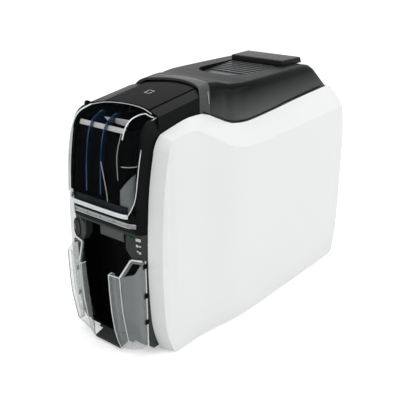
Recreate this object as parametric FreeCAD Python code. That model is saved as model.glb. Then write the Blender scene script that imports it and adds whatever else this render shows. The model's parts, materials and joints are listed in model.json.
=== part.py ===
import FreeCAD, Part
import math
import os

# Slim desktop id card printer. Millimetres, +Z up, front towards -Y, origin at the middle
# of the footprint on the surface that the feet stand on.

V = FreeCAD.Vector
X_AXIS = V(1, 0, 0)
Y_AXIS = V(0, 1, 0)
Z_AXIS = V(0, 0, 1)
FULL_TURN = 2 * math.pi

# Whole printer
body_width = 155.0
body_depth = 366.0
body_height = 269.0
# the body stands this far behind the middle, because the clear wings reach out in front
body_lead = 5.0
half_width = body_width / 2
overrun = 5.0
seat_gap = 0.3
seam_gap = 0.4
running_gap = 0.05
moulding_wall = 2.5

# Cards that the printer feeds
card_width = 54.0
card_length = 85.6
card_gap = 1.5

# White side panels
panel_bevel_width = 15.5
panel_front_draft = 7.1
panel_edge_lead = 0.8
panel_rear_draft = 3.0
panel_boss_radius = 4.0
loft_step_share = 0.03
# y of depth, half width, top edge of height, drop of the bevel of height
panel_station_shares = [
    (-0.478, 0.858, 0.848, 0.011),
    (-0.388, 0.871, 0.877, 0.013),
    (-0.333, 0.871, 0.893, 0.022),
    (-0.287, 0.878, 0.903, 0.042),
    (-0.240, 0.903, 0.904, 0.079),
    (-0.186, 0.952, 0.875, 0.093),
    (-0.126, 0.990, 0.840, 0.084),
    (-0.055, 1.000, 0.828, 0.080),
    (0.082, 1.000, 0.837, 0.087),
    (0.219, 1.000, 0.851, 0.095),
    (0.383, 0.994, 0.862, 0.100),
    (0.512, 0.968, 0.866, 0.100),
]
# front edge as y of depth, z of height: start, then middle and end of each arc
panel_front_shares = [
    (-0.417, 0.011), (-0.438, 0.078), (-0.452, 0.186), (-0.457, 0.353), (-0.450, 0.595),
    (-0.440, 0.714), (-0.426, 0.807), (-0.413, 0.853), (-0.388, 0.882),
]
# rear edge from the top down, the same way
panel_rear_shares = [
    (0.383, 0.874), (0.446, 0.842), (0.478, 0.755), (0.496, 0.640), (0.500, 0.502),
    (0.4995, 0.390), (0.4985, 0.279), (0.494, 0.141), (0.4795, 0.033),
]
panel_inner_front = panel_station_shares[0][1] * half_width - panel_bevel_width
panel_inner_rear = panel_station_shares[-1][1] * half_width - panel_bevel_width
panel_boss_places_share = [(-0.30, 0.16), (-0.30, 0.475), (0.41, 0.16), (0.41, 0.66)]

# Base tray and feet
foot_height = 4.0
foot_radius = 9.0
foot_recess = 1.0
tray_floor = 2.5
tray_wall_height = 9.0
tray_front_share = -0.395
tray_rear_share = 0.443
foot_inset_x = 16.0
foot_inset_y = 22.0

# Inner side frames
frame_face = 37.5
frame_thickness = 2.0
frame_front_share = -0.385
frame_rear_share = 0.425
frame_top_share = 0.76
frame_step_share = 0.56
frame_step_y_share = -0.27
frame_foot_width = 10.0

# Hopper housing: roof, front columns and the bar under the input cover
housing_flat_half = 31.0
housing_shoulder = 3.7
housing_side_half = panel_inner_front - housing_shoulder
roof_crown_drop = 2.0
roof_front_share = (-0.404, 0.9345)
roof_rear_share = (-0.120, 0.985)
housing_rear_share = -0.13
housing_bar_bottom_share = 0.517
housing_bar_top_share = 0.589
housing_bar_front_shares = [(-0.4785, 0.517), (-0.4860, 0.553), (-0.488, 0.589)]
bar_plan_shares = [-0.4555, -0.4725, -0.4885]
bar_end_top_share = 0.62
housing_side_bar_shares = [(-0.4555, 0.517), (-0.4540, 0.553), (-0.4505, 0.589)]
# line where the cover's side meets the housing
cover_line_shares = [
    (-0.481, 0.5895), (-0.4735, 0.706), (-0.455, 0.848), (-0.439, 0.906), (-0.400, 0.9265),
]
housing_side_line_shares = [
    (-0.4500, 0.5895), (-0.4410, 0.714), (-0.4275, 0.807), (-0.4130, 0.853), (-0.388, 0.880),
]
housing_side_top_share = (-0.24, 0.905)
housing_window_half = panel_inner_front - 2 * housing_shoulder
roof_plate_thickness = 0.9
roof_plate_half = 30.0

# Arcs seen from above: lid collar and cover top edge
collar_arc_radius = 60.0
collar_front_share = -0.164
crest_arc_radius = 66.0
crest_middle_share = -0.123
cover_arc_radius = 91.0
cover_rear_share = -0.363

# Input cover
cover_side = 4.0
cover_half = panel_inner_front - cover_side
cover_wall = 2.2
cover_corner_radius = 11.0
cover_profile_shares = [
    (-0.300, 0.9475), (-0.416, 0.9325), (-0.458, 0.9115), (-0.4775, 0.8625), (-0.4925, 0.736),
    (-0.4985, 0.595),
]
cover_lip_height = 8.0
cover_lip_depth = 3.8
cover_rib_centre = -8.6
cover_rib_spacing = 19.8
cover_rib_thickness = 1.0
cover_rib_depth = 6.0
cover_hinge_share = (-0.3935, 0.9255)
cover_hinge_radius = 1.5
cover_hinge_reach = 3.2
cover_knuckle_radius = 2.9
cover_swing_gap = 1.5
cover_shoulder_half = 0.6 * cover_half
cover_arm_length = 5.0
cover_knuckle_width = 3.2
cover_knuckle_half = cover_half + cover_knuckle_width / 2 + 2 * seat_gap

# Output side of the front
fascia_top_share = 0.5155
fascia_bottom = 8.0
fascia_rear_share = -0.415
fascia_half = panel_inner_front
throat_half = 28.7
fascia_pad_width = fascia_half - throat_half
# y of depth at the outer edge, the bend and the throat
fascia_plan_shares = [-0.4555, -0.4695, -0.4800]
fascia_bend_share = 0.16
throat_top_share = 0.506
throat_corner_share = 0.449
pad_corner_share = 0.413
pad_chamfer_share = 0.30
bay_side = 7.5
bay_half = fascia_half - bay_side
liner_wall = 1.2
liner_back_share = -0.400
exit_slot_height = 7.0
exit_slot_share = 0.467
floor_thickness = 3.0
floor_front_share = -0.452

# Clear output wings
wing_wall = 2.0
wing_side = 1.4
wing_rear_half = fascia_half - wing_side
wing_gap_half = 20.0
wing_lip_width = 1.6
wing_crease_share = 0.32
wing_side_y_share = -0.4615
# height of height, then y of depth: lip's rear, lip's front, crease and corner
wing_level_shares = [
    (0.016, -0.4930, -0.4935, -0.4790, -0.4790),
    (0.060, -0.4950, -0.5050, -0.4880, -0.4860),
    (0.110, -0.4975, -0.5140, -0.4950, -0.4920),
    (0.190, -0.5010, -0.5215, -0.5040, -0.5015),
    (0.280, -0.5070, -0.5255, -0.5090, -0.5040),
    (0.430, -0.5140, -0.5270, -0.5115, -0.5045),
]
wing_lip_top_share = 0.356
wing_crease_top_share = 0.344
wing_corner_top_share = 0.375
wing_rear_top_share = 0.415
wing_rail_size = 3.6
wing_rail_end_share = 0.66
wing_rail_low_share = 0.3965
wing_clip_height = 5.0
wing_clip_depth = 5.0
wing_clip_thickness = 0.8
wing_clip_shares = [0.150, 0.262, 0.385]

# Light strip under the cover
strip_half = 37.0
strip_height = 4.0
strip_depth = 5.0
strip_share = 0.5535
strip_front_share = -0.4925
strip_segments = 4
strip_segment_gap = 0.8

# Front controls
button_width = 0.40 * fascia_pad_width
button_height = 21.0
button_depth = 6.0
button_proud = 0.8
button_travel = 1.5
button_x = throat_half + 0.70 * fascia_pad_width
button_share = 0.457
light_width = 0.34 * fascia_pad_width
light_height = 2.8
light_depth = 3.0
light_proud = 0.2
light_share = 0.4985
light_x = throat_half + 0.25 * fascia_pad_width
icon_width = 0.22 * fascia_pad_width
icon_height = 3.0
icon_x = throat_half + 0.69 * fascia_pad_width
icon_shares = [0.496, 0.472, 0.448]

# Exit flap in the throat
flap_half = 17.0
flap_height = 12.0
flap_thickness = 1.6
flap_share = -0.452
flap_pin_radius = 1.5

# Lid
lid_wall = 2.5
lid_bottom_share = 0.803
lid_hinge_share = (0.4235, 0.840)
lid_hinge_radius = 2.0
lid_hinge_wall = 1.5
lid_hinge_length = 12.0
lid_ear_radius = 4.5
# y of depth, bottom half width, top half width of half width, top of height, corner radius
lid_station_shares = [
    (-0.262, 0.658, 0.560, 0.9790, 8.0),
    (-0.191, 0.662, 0.575, 0.9860, 9.0),
    (-0.158, 0.672, 0.585, 0.9915, 10.0),
    (-0.122, 0.715, 0.610, 0.9900, 9.0),
    (-0.093, 0.768, 0.690, 0.9790, 8.0),
    (-0.055, 0.784, 0.745, 0.9770, 6.0),
    (-0.015, 0.785, 0.760, 0.9785, 5.0),
    (0.030, 0.785, 0.760, 0.9790, 5.0),
    (0.120, 0.785, 0.754, 0.9790, 5.0),
    (0.210, 0.784, 0.740, 0.9790, 5.0),
    (0.290, 0.782, 0.727, 0.9785, 5.0),
    (0.318, 0.780, 0.724, 0.9730, 5.0),
    (0.345, 0.779, 0.722, 0.9550, 5.0),
    (0.385, 0.777, 0.722, 0.9120, 5.0),
    (0.410, 0.774, 0.723, 0.8850, 5.0),
    (0.432, 0.770, 0.725, 0.8620, 5.0),
]
pad_half = 34.0
pad_front_share = 0.004
pad_rear_share = 0.222
pad_round = 24.0
pad_skirt = 1.6
pad_skirt_depth = 14.0
pad_recess = 1.0
pad_front_drop = 6.0
pad_thickness = 7.0
pad_rib_count = 7
pad_rib_height = 1.2
pad_rib_width = 3.0
pad_rib_pitch = 7.0
block_front_half = 37.0
block_rear_half = 39.0
block_front_share = 0.230
block_rear_share = 0.340
block_slope = 3.0
block_radius = 1.5
lid_boss_size = 6.0
lid_boss_side = 10.9
lid_boss_share = 0.035
lid_boss_x = lid_station_shares[6][2] * half_width - lid_boss_side

# Latch that the pad pulls back
latch_bar_size = 6.0
latch_share = -0.088
latch_leg_drop = 32.0
latch_guide_width = 10.0
latch_guide_lead = 8.0
latch_leg_x = 36.5
latch_leg_width = 4.0
latch_tongue = 4.0

# Print head under the lid
head_y_share = 0.014
head_half = 32.0
head_depth = 22.0
head_height = 14.0
head_gap = 1.0
head_fin_count = 9
head_fin_height = 9.0
carrier_plate = 3.0
carrier_share = 0.885
carrier_cheek = 2.5
carrier_depth = 30.0

# Card path and its rollers
path_share = 0.582
exit_path_share = 0.481
shaft_radius = 3.0
roller_half = 28.0
pick_radius = 8.0
feed_radius = 6.0
platen_radius = 7.0
pinch_radius = 4.5
pick_share = -0.290
clean_share = -0.186
infeed_share = -0.145
exit_share = -0.372
pulley_radius = 6.0
pulley_width = 5.0
pulley_gap = 1.0
flange_radius = 7.5
flange_width = 1.0
belt_gap = 0.35
belt_thickness = 1.4
motor_share = (-0.090, 0.410)
motor_size = 35.0
motor_depth = 24.0
motor_shaft_radius = 2.5

# Card hopper
hopper_half_gap = 1.0
hopper_wall = 2.0
hopper_floor = 2.0
hopper_front_share = -0.452
hopper_top_share = 0.875
weight_thickness = 7.0
weight_grip = 12.0
hopper_slot_width = 8.0

# Ribbon spools
spool_share = 0.677
supply_share = 0.145
takeup_share = -0.122
spool_core_radius = 8.0
spool_flange_radius = 11.0
spool_flange_width = 1.5
ribbon_radius = 18.0
ribbon_half = 29.0
spool_stub_radius = 4.0

# Ribbon drive gears
gear_module = 1.0
gear_teeth = 30
pinion_teeth = 12
gear_width = 4.0
gear_backlash = 0.25
gear_clearance = 0.25
pressure_angle = 20.0
takeup_motor_radius = 9.0
takeup_motor_depth = 22.0

# Rear cover, fan, board and sockets
rear_half = panel_inner_rear
rear_plane_share = 0.489
rear_bottom = 6.5
rear_top_share = 0.852
rear_top_y_share = 0.444
rear_round = 24.0
vent_count = 9
vent_width = 3.0
vent_pitch = 6.5
vent_height = 34.0
vent_share = 0.60
fan_size = 40.0
fan_depth = 10.0
fan_bore = 18.5
fan_hub = 9.0
fan_blades = 7
fan_blade_width = 7.0
fan_blade_thickness = 1.2
fan_x = 0.0
fan_share = 0.60
board_thickness = 1.6
board_front_share = 0.02
board_rear_share = 0.38
board_chip_size = 20.0
board_chip_height = 2.5
board_post_radius = 2.0
board_post_inset = 9.0
board_chip_shares = [(0.2, 0.3), (0.45, 0.5), (0.7, 0.3)]
board_bottom_share = 0.09
board_top_share = 0.46
board_gap = 4.0
inlet_x = -30.0
inlet_share = 0.12
inlet_size = 14.0
inlet_depth = 16.0
inlet_bore = 3.6
inlet_hole_depth = 9.0
usb_x = -4.0
usb_width = 12.4
usb_height = 11.4
usb_hole_width = 8.6
usb_hole_height = 7.6
usb_depth = 16.0
socket_hole_depth = 9.0
lan_x = 24.0
lan_width = 16.4
lan_height = 14.0
lan_hole_width = 11.8
lan_hole_height = 8.6
screw_radius = 2.6
screw_head = 2.2
screw_recess = 1.4
screw_shank = 1.4
screw_length = 8.0


def at_y(share):
    return share * body_depth + body_lead


def at_z(share):
    return share * body_height


def save(name, solids):
    if isinstance(solids, list):
        shape = Part.makeCompound(solids) if len(solids) > 1 else solids[0]
    else:
        shape = solids
    shape.exportStep("parts/" + name + ".step")


def box(x0, x1, y0, y1, z0, z1):
    return Part.makeBox(x1 - x0, y1 - y0, z1 - z0, V(x0, y0, z0))


def x_cylinder(radius, x0, x1, y, z):
    return Part.makeCylinder(radius, x1 - x0, V(x0, y, z), X_AXIS)


def y_cylinder(radius, x, y0, y1, z):
    return Part.makeCylinder(radius, y1 - y0, V(x, y0, z), Y_AXIS)


def z_cylinder(radius, x, y, z0, z1):
    return Part.makeCylinder(radius, z1 - z0, V(x, y, z0), Z_AXIS)


def mirrored(shape):
    return shape.mirror(V(0, 0, 0), X_AXIS)


def prism(points, direction):
    face = Part.Face(Part.makePolygon(points + points[:1]))
    return face.extrude(direction)


def xz_prism(points, y0, y1):
    return prism([V(x, y0, z) for x, z in points], V(0, y1 - y0, 0))


def yz_prism(points, x0, x1):
    return prism([V(x0, y, z) for y, z in points], V(x1 - x0, 0, 0))


def xy_prism(points, z0, z1):
    return prism([V(x, y, z0) for x, y in points], V(0, 0, z1 - z0))


def arc(a, b, c):
    return Part.Arc(a, b, c).toShape()


def line(a, b):
    return Part.makeLine(a, b)


def shares_to_yz(shares):
    return [(at_y(y), at_z(z)) for y, z in shares]


def arcs_through(points):
    # an arc on each start, middle and end, sharing the ends
    edges = []
    for i in range(0, len(points) - 2, 2):
        edges.append(arc(points[i], points[i + 1], points[i + 2]))
    return edges


def fillet_where(shape, radius, wanted):
    edges = [edge for edge in shape.Edges if wanted(edge)]
    return shape.makeFillet(radius, edges)


def column_slopes(places, values):
    # slopes of a smooth curve through the values that never overshoots them
    steps = []
    for i in range(len(places) - 1):
        steps.append((values[i + 1] - values[i]) / (places[i + 1] - places[i]))
    slopes = [steps[0]]
    for before, after in zip(steps, steps[1:]):
        turning = before * after <= 0
        slopes.append(0 if turning else 2 * before * after / (before + after))
    slopes.append(steps[-1])
    return slopes


def refined(rows):
    # the stations with smooth ones added between them; the first column is the place
    places = [row[0] for row in rows]
    columns = [[row[k] for row in rows] for k in range(1, len(rows[0]))]
    slopes = [column_slopes(places, column) for column in columns]
    fine = []
    for i in range(len(rows) - 1):
        width = places[i + 1] - places[i]
        count = max(1, round(width / loft_step_share))
        for j in range(count):
            t = j / count
            start = 2 * t ** 3 - 3 * t ** 2 + 1
            leave = (t ** 3 - 2 * t ** 2 + t) * width
            arrive = (t ** 3 - t ** 2) * width
            row = [places[i] + t * width]
            for column, slope in zip(columns, slopes):
                value = start * column[i] + (1 - start) * column[i + 1]
                row.append(value + leave * slope[i] + arrive * slope[i + 1])
            fine.append(row)
    fine.append(list(rows[-1]))
    return fine


def panel_trim_wire(x, shift, lift):
    front = [V(x, y + shift, z) for y, z in shares_to_yz(panel_front_shares)]
    rear = [V(x, y - shift, z) for y, z in shares_to_yz(panel_rear_shares)]
    roof = body_height + overrun
    floor_z = front[0].z + lift
    front[0] = V(x, front[0].y, floor_z)
    foot = V(x, rear[-1].y - panel_rear_draft, floor_z)
    edges = arcs_through(front)
    edges.append(line(front[-1], V(x, front[-1].y, roof)))
    edges.append(line(V(x, front[-1].y, roof), V(x, rear[0].y, roof)))
    edges.append(line(V(x, rear[0].y, roof), rear[0]))
    edges += arcs_through(rear)
    edges.append(line(rear[-1], foot))
    edges.append(line(foot, front[0]))
    return Part.Wire(edges)


def panel_trim(inset):
    # silhouette from the side, drawn in towards the outer face
    edge_x = panel_station_shares[0][1] * half_width - panel_bevel_width
    lean = panel_front_draft / (half_width - edge_x)
    inner_x = frame_face - overrun
    outer_x = half_width + overrun
    near = panel_trim_wire(inner_x, inset - panel_edge_lead + lean * (inner_x - edge_x), inset)
    far = panel_trim_wire(outer_x, inset - panel_edge_lead + lean * (outer_x - edge_x), inset)
    return Part.makeLoft([near, far], True, True)


def panel_section(row, inset, inner_x):
    y_share, x_share, top_share, drop_share = row
    y = at_y(y_share)
    outer_x = x_share * half_width
    edge_x = outer_x - panel_bevel_width
    top = at_z(top_share)
    drop = at_z(drop_share)
    slope = drop / panel_bevel_width
    sink = inset * math.sqrt(1 + slope * slope)
    left = edge_x if inner_x is None else inner_x
    right = outer_x - inset
    floor_z = -overrun
    shape = [
        V(left, y, floor_z),
        V(right, y, floor_z),
        V(right, y, top - slope * (right - edge_x) - sink),
        V(left, y, top - slope * (left - edge_x) - sink),
    ]
    return Part.makePolygon(shape + shape[:1])


def panel_skin(inset, inner_x):
    wires = [panel_section(row, inset, inner_x) for row in refined(panel_station_shares)]
    skin = Part.makeLoft(wires, True, True)
    limit = box(0, half_width - inset, -body_depth, body_depth, -overrun, body_height)
    return skin.common(limit).common(panel_trim(inset))


def side_panel():
    inner_x = frame_face
    outer = panel_skin(0, None)
    inner = panel_skin(moulding_wall, inner_x)
    shell = outer.cut(inner)
    outside = frame_face + frame_thickness
    for y_share, z_share in panel_boss_places_share:
        y = at_y(y_share)
        z = at_z(z_share)
        boss = x_cylinder(panel_boss_radius, outside, half_width - moulding_wall / 2, y, z)
        shell = shell.fuse(boss.common(panel_skin(moulding_wall / 2, inner_x)))
    return shell.removeSplitter()


def panel_edge_x(y):
    # inner edge of the white panels, straight between the stations
    rows = refined(panel_station_shares)
    for near, far in zip(rows, rows[1:]):
        if at_y(near[0]) <= y <= at_y(far[0]):
            part = (y - at_y(near[0])) / (at_y(far[0]) - at_y(near[0]))
            return (near[1] + part * (far[1] - near[1])) * half_width - panel_bevel_width
    return rows[-1][1] * half_width - panel_bevel_width


def plan_outline(gap, y0, y1):
    # the body between the panels, from above
    rows = refined(panel_station_shares)
    ys = [y0] + [at_y(row[0]) for row in rows if y0 < at_y(row[0]) < y1] + [y1]
    right = [(panel_edge_x(y) - gap, y) for y in ys]
    left = [(-x, y) for x, y in reversed(right)]
    return right + left


def base_tray():
    y0 = at_y(tray_front_share)
    y1 = at_y(tray_rear_share)
    top = foot_height + tray_wall_height
    outer = xy_prism(plan_outline(2 * seam_gap, y0, y1), foot_height, top)
    inner_plan = plan_outline(2 * seam_gap + moulding_wall, y0 + moulding_wall, y1 - moulding_wall)
    inner = xy_prism(inner_plan, foot_height + tray_floor, top + overrun)
    tray = outer.cut(inner)
    for x, y in foot_places():
        seat = z_cylinder(foot_radius + seat_gap, x, y, foot_height - overrun, foot_height + foot_recess)
        tray = tray.cut(seat)
    return tray


def foot_places():
    y0 = at_y(tray_front_share) + foot_inset_y
    y1 = at_y(tray_rear_share) - foot_inset_y
    x = panel_edge_x(y0) - foot_inset_x
    return [(-x, y0), (x, y0), (-x, y1), (x, y1)]


def rubber_feet():
    return [z_cylinder(foot_radius, x, y, 0, foot_height + foot_recess) for x, y in foot_places()]


path_z = at_z(path_share)
exit_path_z = at_z(exit_path_share)
platen_y = at_y(head_y_share)
# name, y, centre height, rubber radius, driven by the belt
roller_rows = [
    ("pick", at_y(pick_share), path_z - pick_radius, pick_radius),
    ("infeed", at_y(infeed_share), path_z - feed_radius, feed_radius),
    ("platen", platen_y, path_z - platen_radius, platen_radius),
    ("exit", at_y(exit_share), exit_path_z - feed_radius, feed_radius),
]
clean_y = at_y(clean_share)
clean_z = path_z + feed_radius
infeed_pinch_z = path_z + pinch_radius + card_gap / 2
exit_pinch_z = exit_path_z + pinch_radius + card_gap / 2
motor_y = at_y(motor_share[0])
motor_z = at_z(motor_share[1])
spool_z = at_z(spool_share)
supply_y = at_y(supply_share)
takeup_y = at_y(takeup_share)
gear_x = frame_face + frame_thickness + gear_clearance * 2
gear_distance = gear_module * (gear_teeth + pinion_teeth) / 2 + gear_clearance
pinion_y = takeup_y - gear_distance


def side_frame():
    x0 = frame_face
    x1 = frame_face + frame_thickness
    front = at_y(frame_front_share)
    rear = at_y(frame_rear_share)
    step_y = at_y(frame_step_y_share)
    top = at_z(frame_top_share)
    step = at_z(frame_step_share) + pick_radius
    low = foot_height + tray_floor
    outline = [(front, low), (rear, low), (rear, top), (step_y, top), (step_y, step), (front, step)]
    plate = yz_prism(outline, x0, x1)
    foot = box(x0 - frame_foot_width, x1, step_y, rear, low, low + frame_thickness)
    plate = plate.fuse(foot)
    holes = [(y, z, shaft_radius + running_gap) for name, y, z, radius in roller_rows]
    holes += [(clean_y, clean_z, shaft_radius + running_gap)]
    holes += [(at_y(infeed_share), infeed_pinch_z, shaft_radius + running_gap)]
    holes += [(at_y(exit_share), exit_pinch_z, shaft_radius + running_gap)]
    for y, z, radius in holes:
        plate = plate.cut(x_cylinder(radius, x0 - overrun, x1 + overrun, y, z))
    for y in (supply_y, takeup_y):
        radius = spool_stub_radius + running_gap
        plate = plate.cut(x_cylinder(radius, x0 - overrun, x1 + overrun, y, spool_z))
        plate = plate.cut(box(x0 - overrun, x1 + overrun, y - radius, y + radius, spool_z, top + overrun))
    return plate.removeSplitter()


def left_frame():
    plate = mirrored(side_frame())
    radius = motor_shaft_radius + seat_gap
    return plate.cut(x_cylinder(radius, -half_width, 0, motor_y, motor_z))


def right_frame():
    radius = motor_shaft_radius + seat_gap
    return side_frame().cut(x_cylinder(radius, 0, half_width, pinion_y, spool_z))


def section_wire(x, points):
    # closed side view: bar front as lines, cover line as arcs, roof and rear as lines
    bar, cover_line, roof_rear, bottom_rear = points
    pts = [V(x, y, z) for y, z in bar]
    edges = [line(pts[0], pts[1]), line(pts[1], pts[2])]
    curve = [V(x, y, z) for y, z in cover_line]
    edges.append(line(pts[2], curve[0]))
    edges += arcs_through(curve)
    rear = [V(x, y, z) for y, z in (roof_rear, bottom_rear)]
    edges.append(line(curve[-1], rear[0]))
    edges.append(line(rear[0], rear[1]))
    edges.append(line(rear[1], pts[0]))
    return Part.Wire(edges)


def housing_wires(inset):
    bar = [(y + inset, z) for y, z in shares_to_yz(housing_bar_front_shares)]
    side_bar = [(y + inset, z) for y, z in shares_to_yz(housing_side_bar_shares)]
    line_points = [(y + inset, z - inset) for y, z in shares_to_yz(cover_line_shares)]
    side_points = [(y + inset, z - inset) for y, z in shares_to_yz(housing_side_line_shares)]
    rear_y = at_y(housing_rear_share)
    bottom = at_z(housing_bar_bottom_share)
    crown = (at_y(roof_rear_share[0]), at_z(roof_rear_share[1]) - inset)
    front_crown = (at_y(roof_front_share[0]) + inset, at_z(roof_front_share[1]) - inset)
    slope = (crown[1] - front_crown[1]) / (crown[0] - front_crown[0])
    flat_line = line_points[:-1] + [front_crown]
    flat_rear = (rear_y, front_crown[1] + slope * (rear_y - front_crown[0]))
    side_line = line_points[:-1] + [(front_crown[0], front_crown[1] - roof_crown_drop)]
    side_rear = (rear_y, flat_rear[1] - roof_crown_drop)
    edge_rear = (rear_y, at_z(housing_side_top_share[1]) - inset)
    flat_half = housing_flat_half - inset / 2
    side_half = housing_side_half - inset
    edge_half = fascia_half - inset
    return [
        (edge_half, (side_bar, side_points, edge_rear, (rear_y, bottom))),
        (side_half, (bar, side_line, side_rear, (rear_y, bottom))),
        (flat_half, (bar, flat_line, flat_rear, (rear_y, bottom))),
    ]


def housing_skin(inset):
    rows = housing_wires(inset)
    rows += [(-x, points) for x, points in reversed(rows)]
    wires = [section_wire(x, points) for x, points in rows]
    skin = None
    for near, far in zip(wires, wires[1:]):
        slab = Part.makeLoft([near, far], True, True)
        skin = slab if skin is None else skin.fuse(slab)
    return skin


def bar_ends(inset):
    # room outside the bent ends of the bar, seen from above
    edge_y, bend_y, flat_y = [at_y(share) + inset for share in bar_plan_shares]
    bend_x = fascia_half - fascia_bend_share * fascia_pad_width - inset / 2
    low = at_z(housing_bar_bottom_share) - overrun
    top = at_z(bar_end_top_share)
    outline = [(strip_half, flat_y), (bend_x, bend_y), (fascia_half, edge_y)]
    outline += [(body_width, edge_y), (body_width, -body_depth), (strip_half, -body_depth)]
    right = xy_prism(outline, low, top)
    return right.fuse(xy_prism([(-x, y) for x, y in reversed(outline)], low, top))


def arc_post(radius, middle_share, grow):
    # upright cylinder whose rear edge passes the given y on the centre line
    y = at_y(middle_share)
    return z_cylinder(radius + grow, 0, y - radius, -overrun, body_height + overrun)


def behind(post_radius, middle_share):
    y = at_y(middle_share) - post_radius
    return box(-body_width, body_width, y, body_depth, -overrun, body_height + overrun)


def collar_trim(grow):
    # everything behind the collar's front arc
    post = arc_post(collar_arc_radius, collar_front_share, grow)
    return behind(collar_arc_radius, collar_front_share).cut(post)


def housing():
    inside = housing_skin(moulding_wall).cut(bar_ends(moulding_wall))
    shell = housing_skin(0).cut(bar_ends(0)).cut(inside)
    shell = shell.cut(collar_trim(-seam_gap))
    bar_top = at_z(housing_bar_top_share) + moulding_wall
    front = arc_post(cover_arc_radius, cover_rear_share, seam_gap)
    window = box(-housing_window_half, housing_window_half, -body_depth, 0, bar_top, body_height)
    shell = shell.cut(window.common(front))
    half = cover_half + seam_gap
    bed = box(-half, half, -body_depth, 0, 0, body_height + overrun)
    shell = shell.cut(cover_region(seam_gap).common(front).common(bed))
    shell = shell.cut(strip_solid(seat_gap / 2))
    y, z = cover_hinge_place()
    room = cover_knuckle_radius + seam_gap
    bed = box(-half, half, y - room - cover_knuckle_radius, y + room, z - room, body_height)
    shell = shell.cut(bed)
    swing = arc_post(cover_arc_radius, cover_rear_share, cover_swing_gap)
    for side in (-1, 1):
        x0, x1 = sorted((side * cover_shoulder_half, side * half))
        shoulder = box(x0, x1, y, y + 3 * room, z - room, body_height)
        shell = shell.cut(swing.common(shoulder))
        shell = shell.fuse(cover_knuckle(side))
        shell = shell.cut(cover_pin(side, running_gap))
    return shell.removeSplitter()


def cover_knuckle(side):
    # ear on the housing's shoulder that carries the cover's pin
    y, z = cover_hinge_place()
    x0, x1 = sorted((side * (cover_knuckle_half - cover_knuckle_width / 2),
                     side * (cover_knuckle_half + cover_knuckle_width / 2)))
    ear = x_cylinder(cover_knuckle_radius, x0, x1, y, z)
    foot = at_z(housing_side_top_share[1]) - 2 * moulding_wall
    web = box(x0, x1, y - cover_knuckle_radius, y + cover_knuckle_radius, foot, z)
    return ear.fuse(web).cut(housing_skin(moulding_wall))


def strip_solid(gap):
    z = at_z(strip_share)
    front = at_y(strip_front_share)
    rear = front + strip_depth
    half = strip_half + gap
    return box(-half, half, front, rear + gap, z - strip_height / 2 - gap, z + strip_height / 2 + gap)


def exit_strip():
    pitch = 2 * strip_half / strip_segments
    z = at_z(strip_share)
    front = at_y(strip_front_share)
    pieces = []
    for i in range(strip_segments):
        x0 = -strip_half + i * pitch + strip_segment_gap / 2
        x1 = x0 + pitch - strip_segment_gap
        pieces.append(box(x0, x1, front, front + strip_depth, z - strip_height / 2, z + strip_height / 2))
    return pieces


def spline(points):
    curve = Part.BSplineCurve()
    curve.interpolate(points)
    return curve.toShape()


def cover_bubble(half, inset):
    # full rounded outside of the cover, deeper than the cover itself
    front = [V(-half, y + inset, z - inset) for y, z in shares_to_yz(cover_profile_shares)]
    foot = at_z(cover_line_shares[0][1]) + seam_gap - inset
    deep = front[0].y
    edges = [spline(front)]
    edges.append(line(front[-1], V(-half, front[-1].y, foot)))
    edges.append(line(V(-half, front[-1].y, foot), V(-half, deep, foot)))
    edges.append(line(V(-half, deep, foot), front[0]))
    body = Part.Face(Part.Wire(edges)).extrude(V(2 * half, 0, 0))

    def on_side(edge):
        middle = edge.CenterOfMass
        in_front = middle.y < deep - overrun and edge.BoundBox.ZLength > overrun
        return in_front and abs(abs(middle.x) - half) < seam_gap
    return fillet_where(body, cover_corner_radius - inset, on_side)


def cover_region(rear_grow):
    # space in front of the line where the cover meets the housing
    shift = rear_grow - seam_gap
    rear = [V(-body_width, y + shift, z - shift) for y, z in shares_to_yz(cover_line_shares)]
    rear[0] = V(-body_width, rear[0].y, at_z(cover_line_shares[0][1]) + seam_gap)
    corner = V(-body_width, at_y(cover_profile_shares[0][0]), rear[-1].z)
    high = V(-body_width, corner.y, body_height)
    front = V(-body_width, -body_depth, body_height)
    low = V(-body_width, -body_depth, rear[0].z)
    edges = arcs_through(rear)
    edges += [line(rear[-1], corner), line(corner, high), line(high, front)]
    edges += [line(front, low), line(low, rear[0])]
    return Part.Face(Part.Wire(edges)).extrude(V(2 * body_width, 0, 0))


def cover_hinge_place():
    y, z = cover_hinge_share
    return at_y(y), at_z(z)


def cover_pin(side, grow):
    # hinge pin that stands out of the cover's upper rear corner
    y, z = cover_hinge_place()
    inner = cover_half - 2 * cover_wall
    outer = cover_half + cover_hinge_reach + grow
    x0, x1 = sorted((side * inner, side * outer))
    return x_cylinder(cover_hinge_radius + grow, x0, x1, y, z)


def input_cover():
    shell = cover_bubble(cover_half, 0).cut(cover_bubble(cover_half - cover_wall, cover_wall))
    shell = shell.common(cover_region(0))
    shell = shell.common(arc_post(cover_arc_radius, cover_rear_share, -seam_gap / 2))
    y, z = cover_hinge_place()
    for side in (-1, 1):
        x0, x1 = sorted((side * (cover_half - 3 * cover_wall), side * cover_half))
        lug = x_cylinder(cover_knuckle_radius, x0, x1, y, z)
        arm = box(x0, x1, y - cover_arm_length, y, z, z + cover_knuckle_radius)
        shell = shell.fuse(lug).fuse(arm).fuse(cover_pin(side, 0))
    return shell.removeSplitter()


def cover_lip():
    # thick clear grip along the cover's bottom edge
    front = at_y(cover_profile_shares[-1][0]) + cover_wall
    foot = at_z(cover_line_shares[0][1]) + seam_gap
    half = cover_half - cover_corner_radius
    lip = box(-half, half, front, front + cover_lip_depth, foot, foot + cover_lip_height)
    return lip.common(cover_bubble(cover_half - cover_wall, cover_wall))


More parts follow.
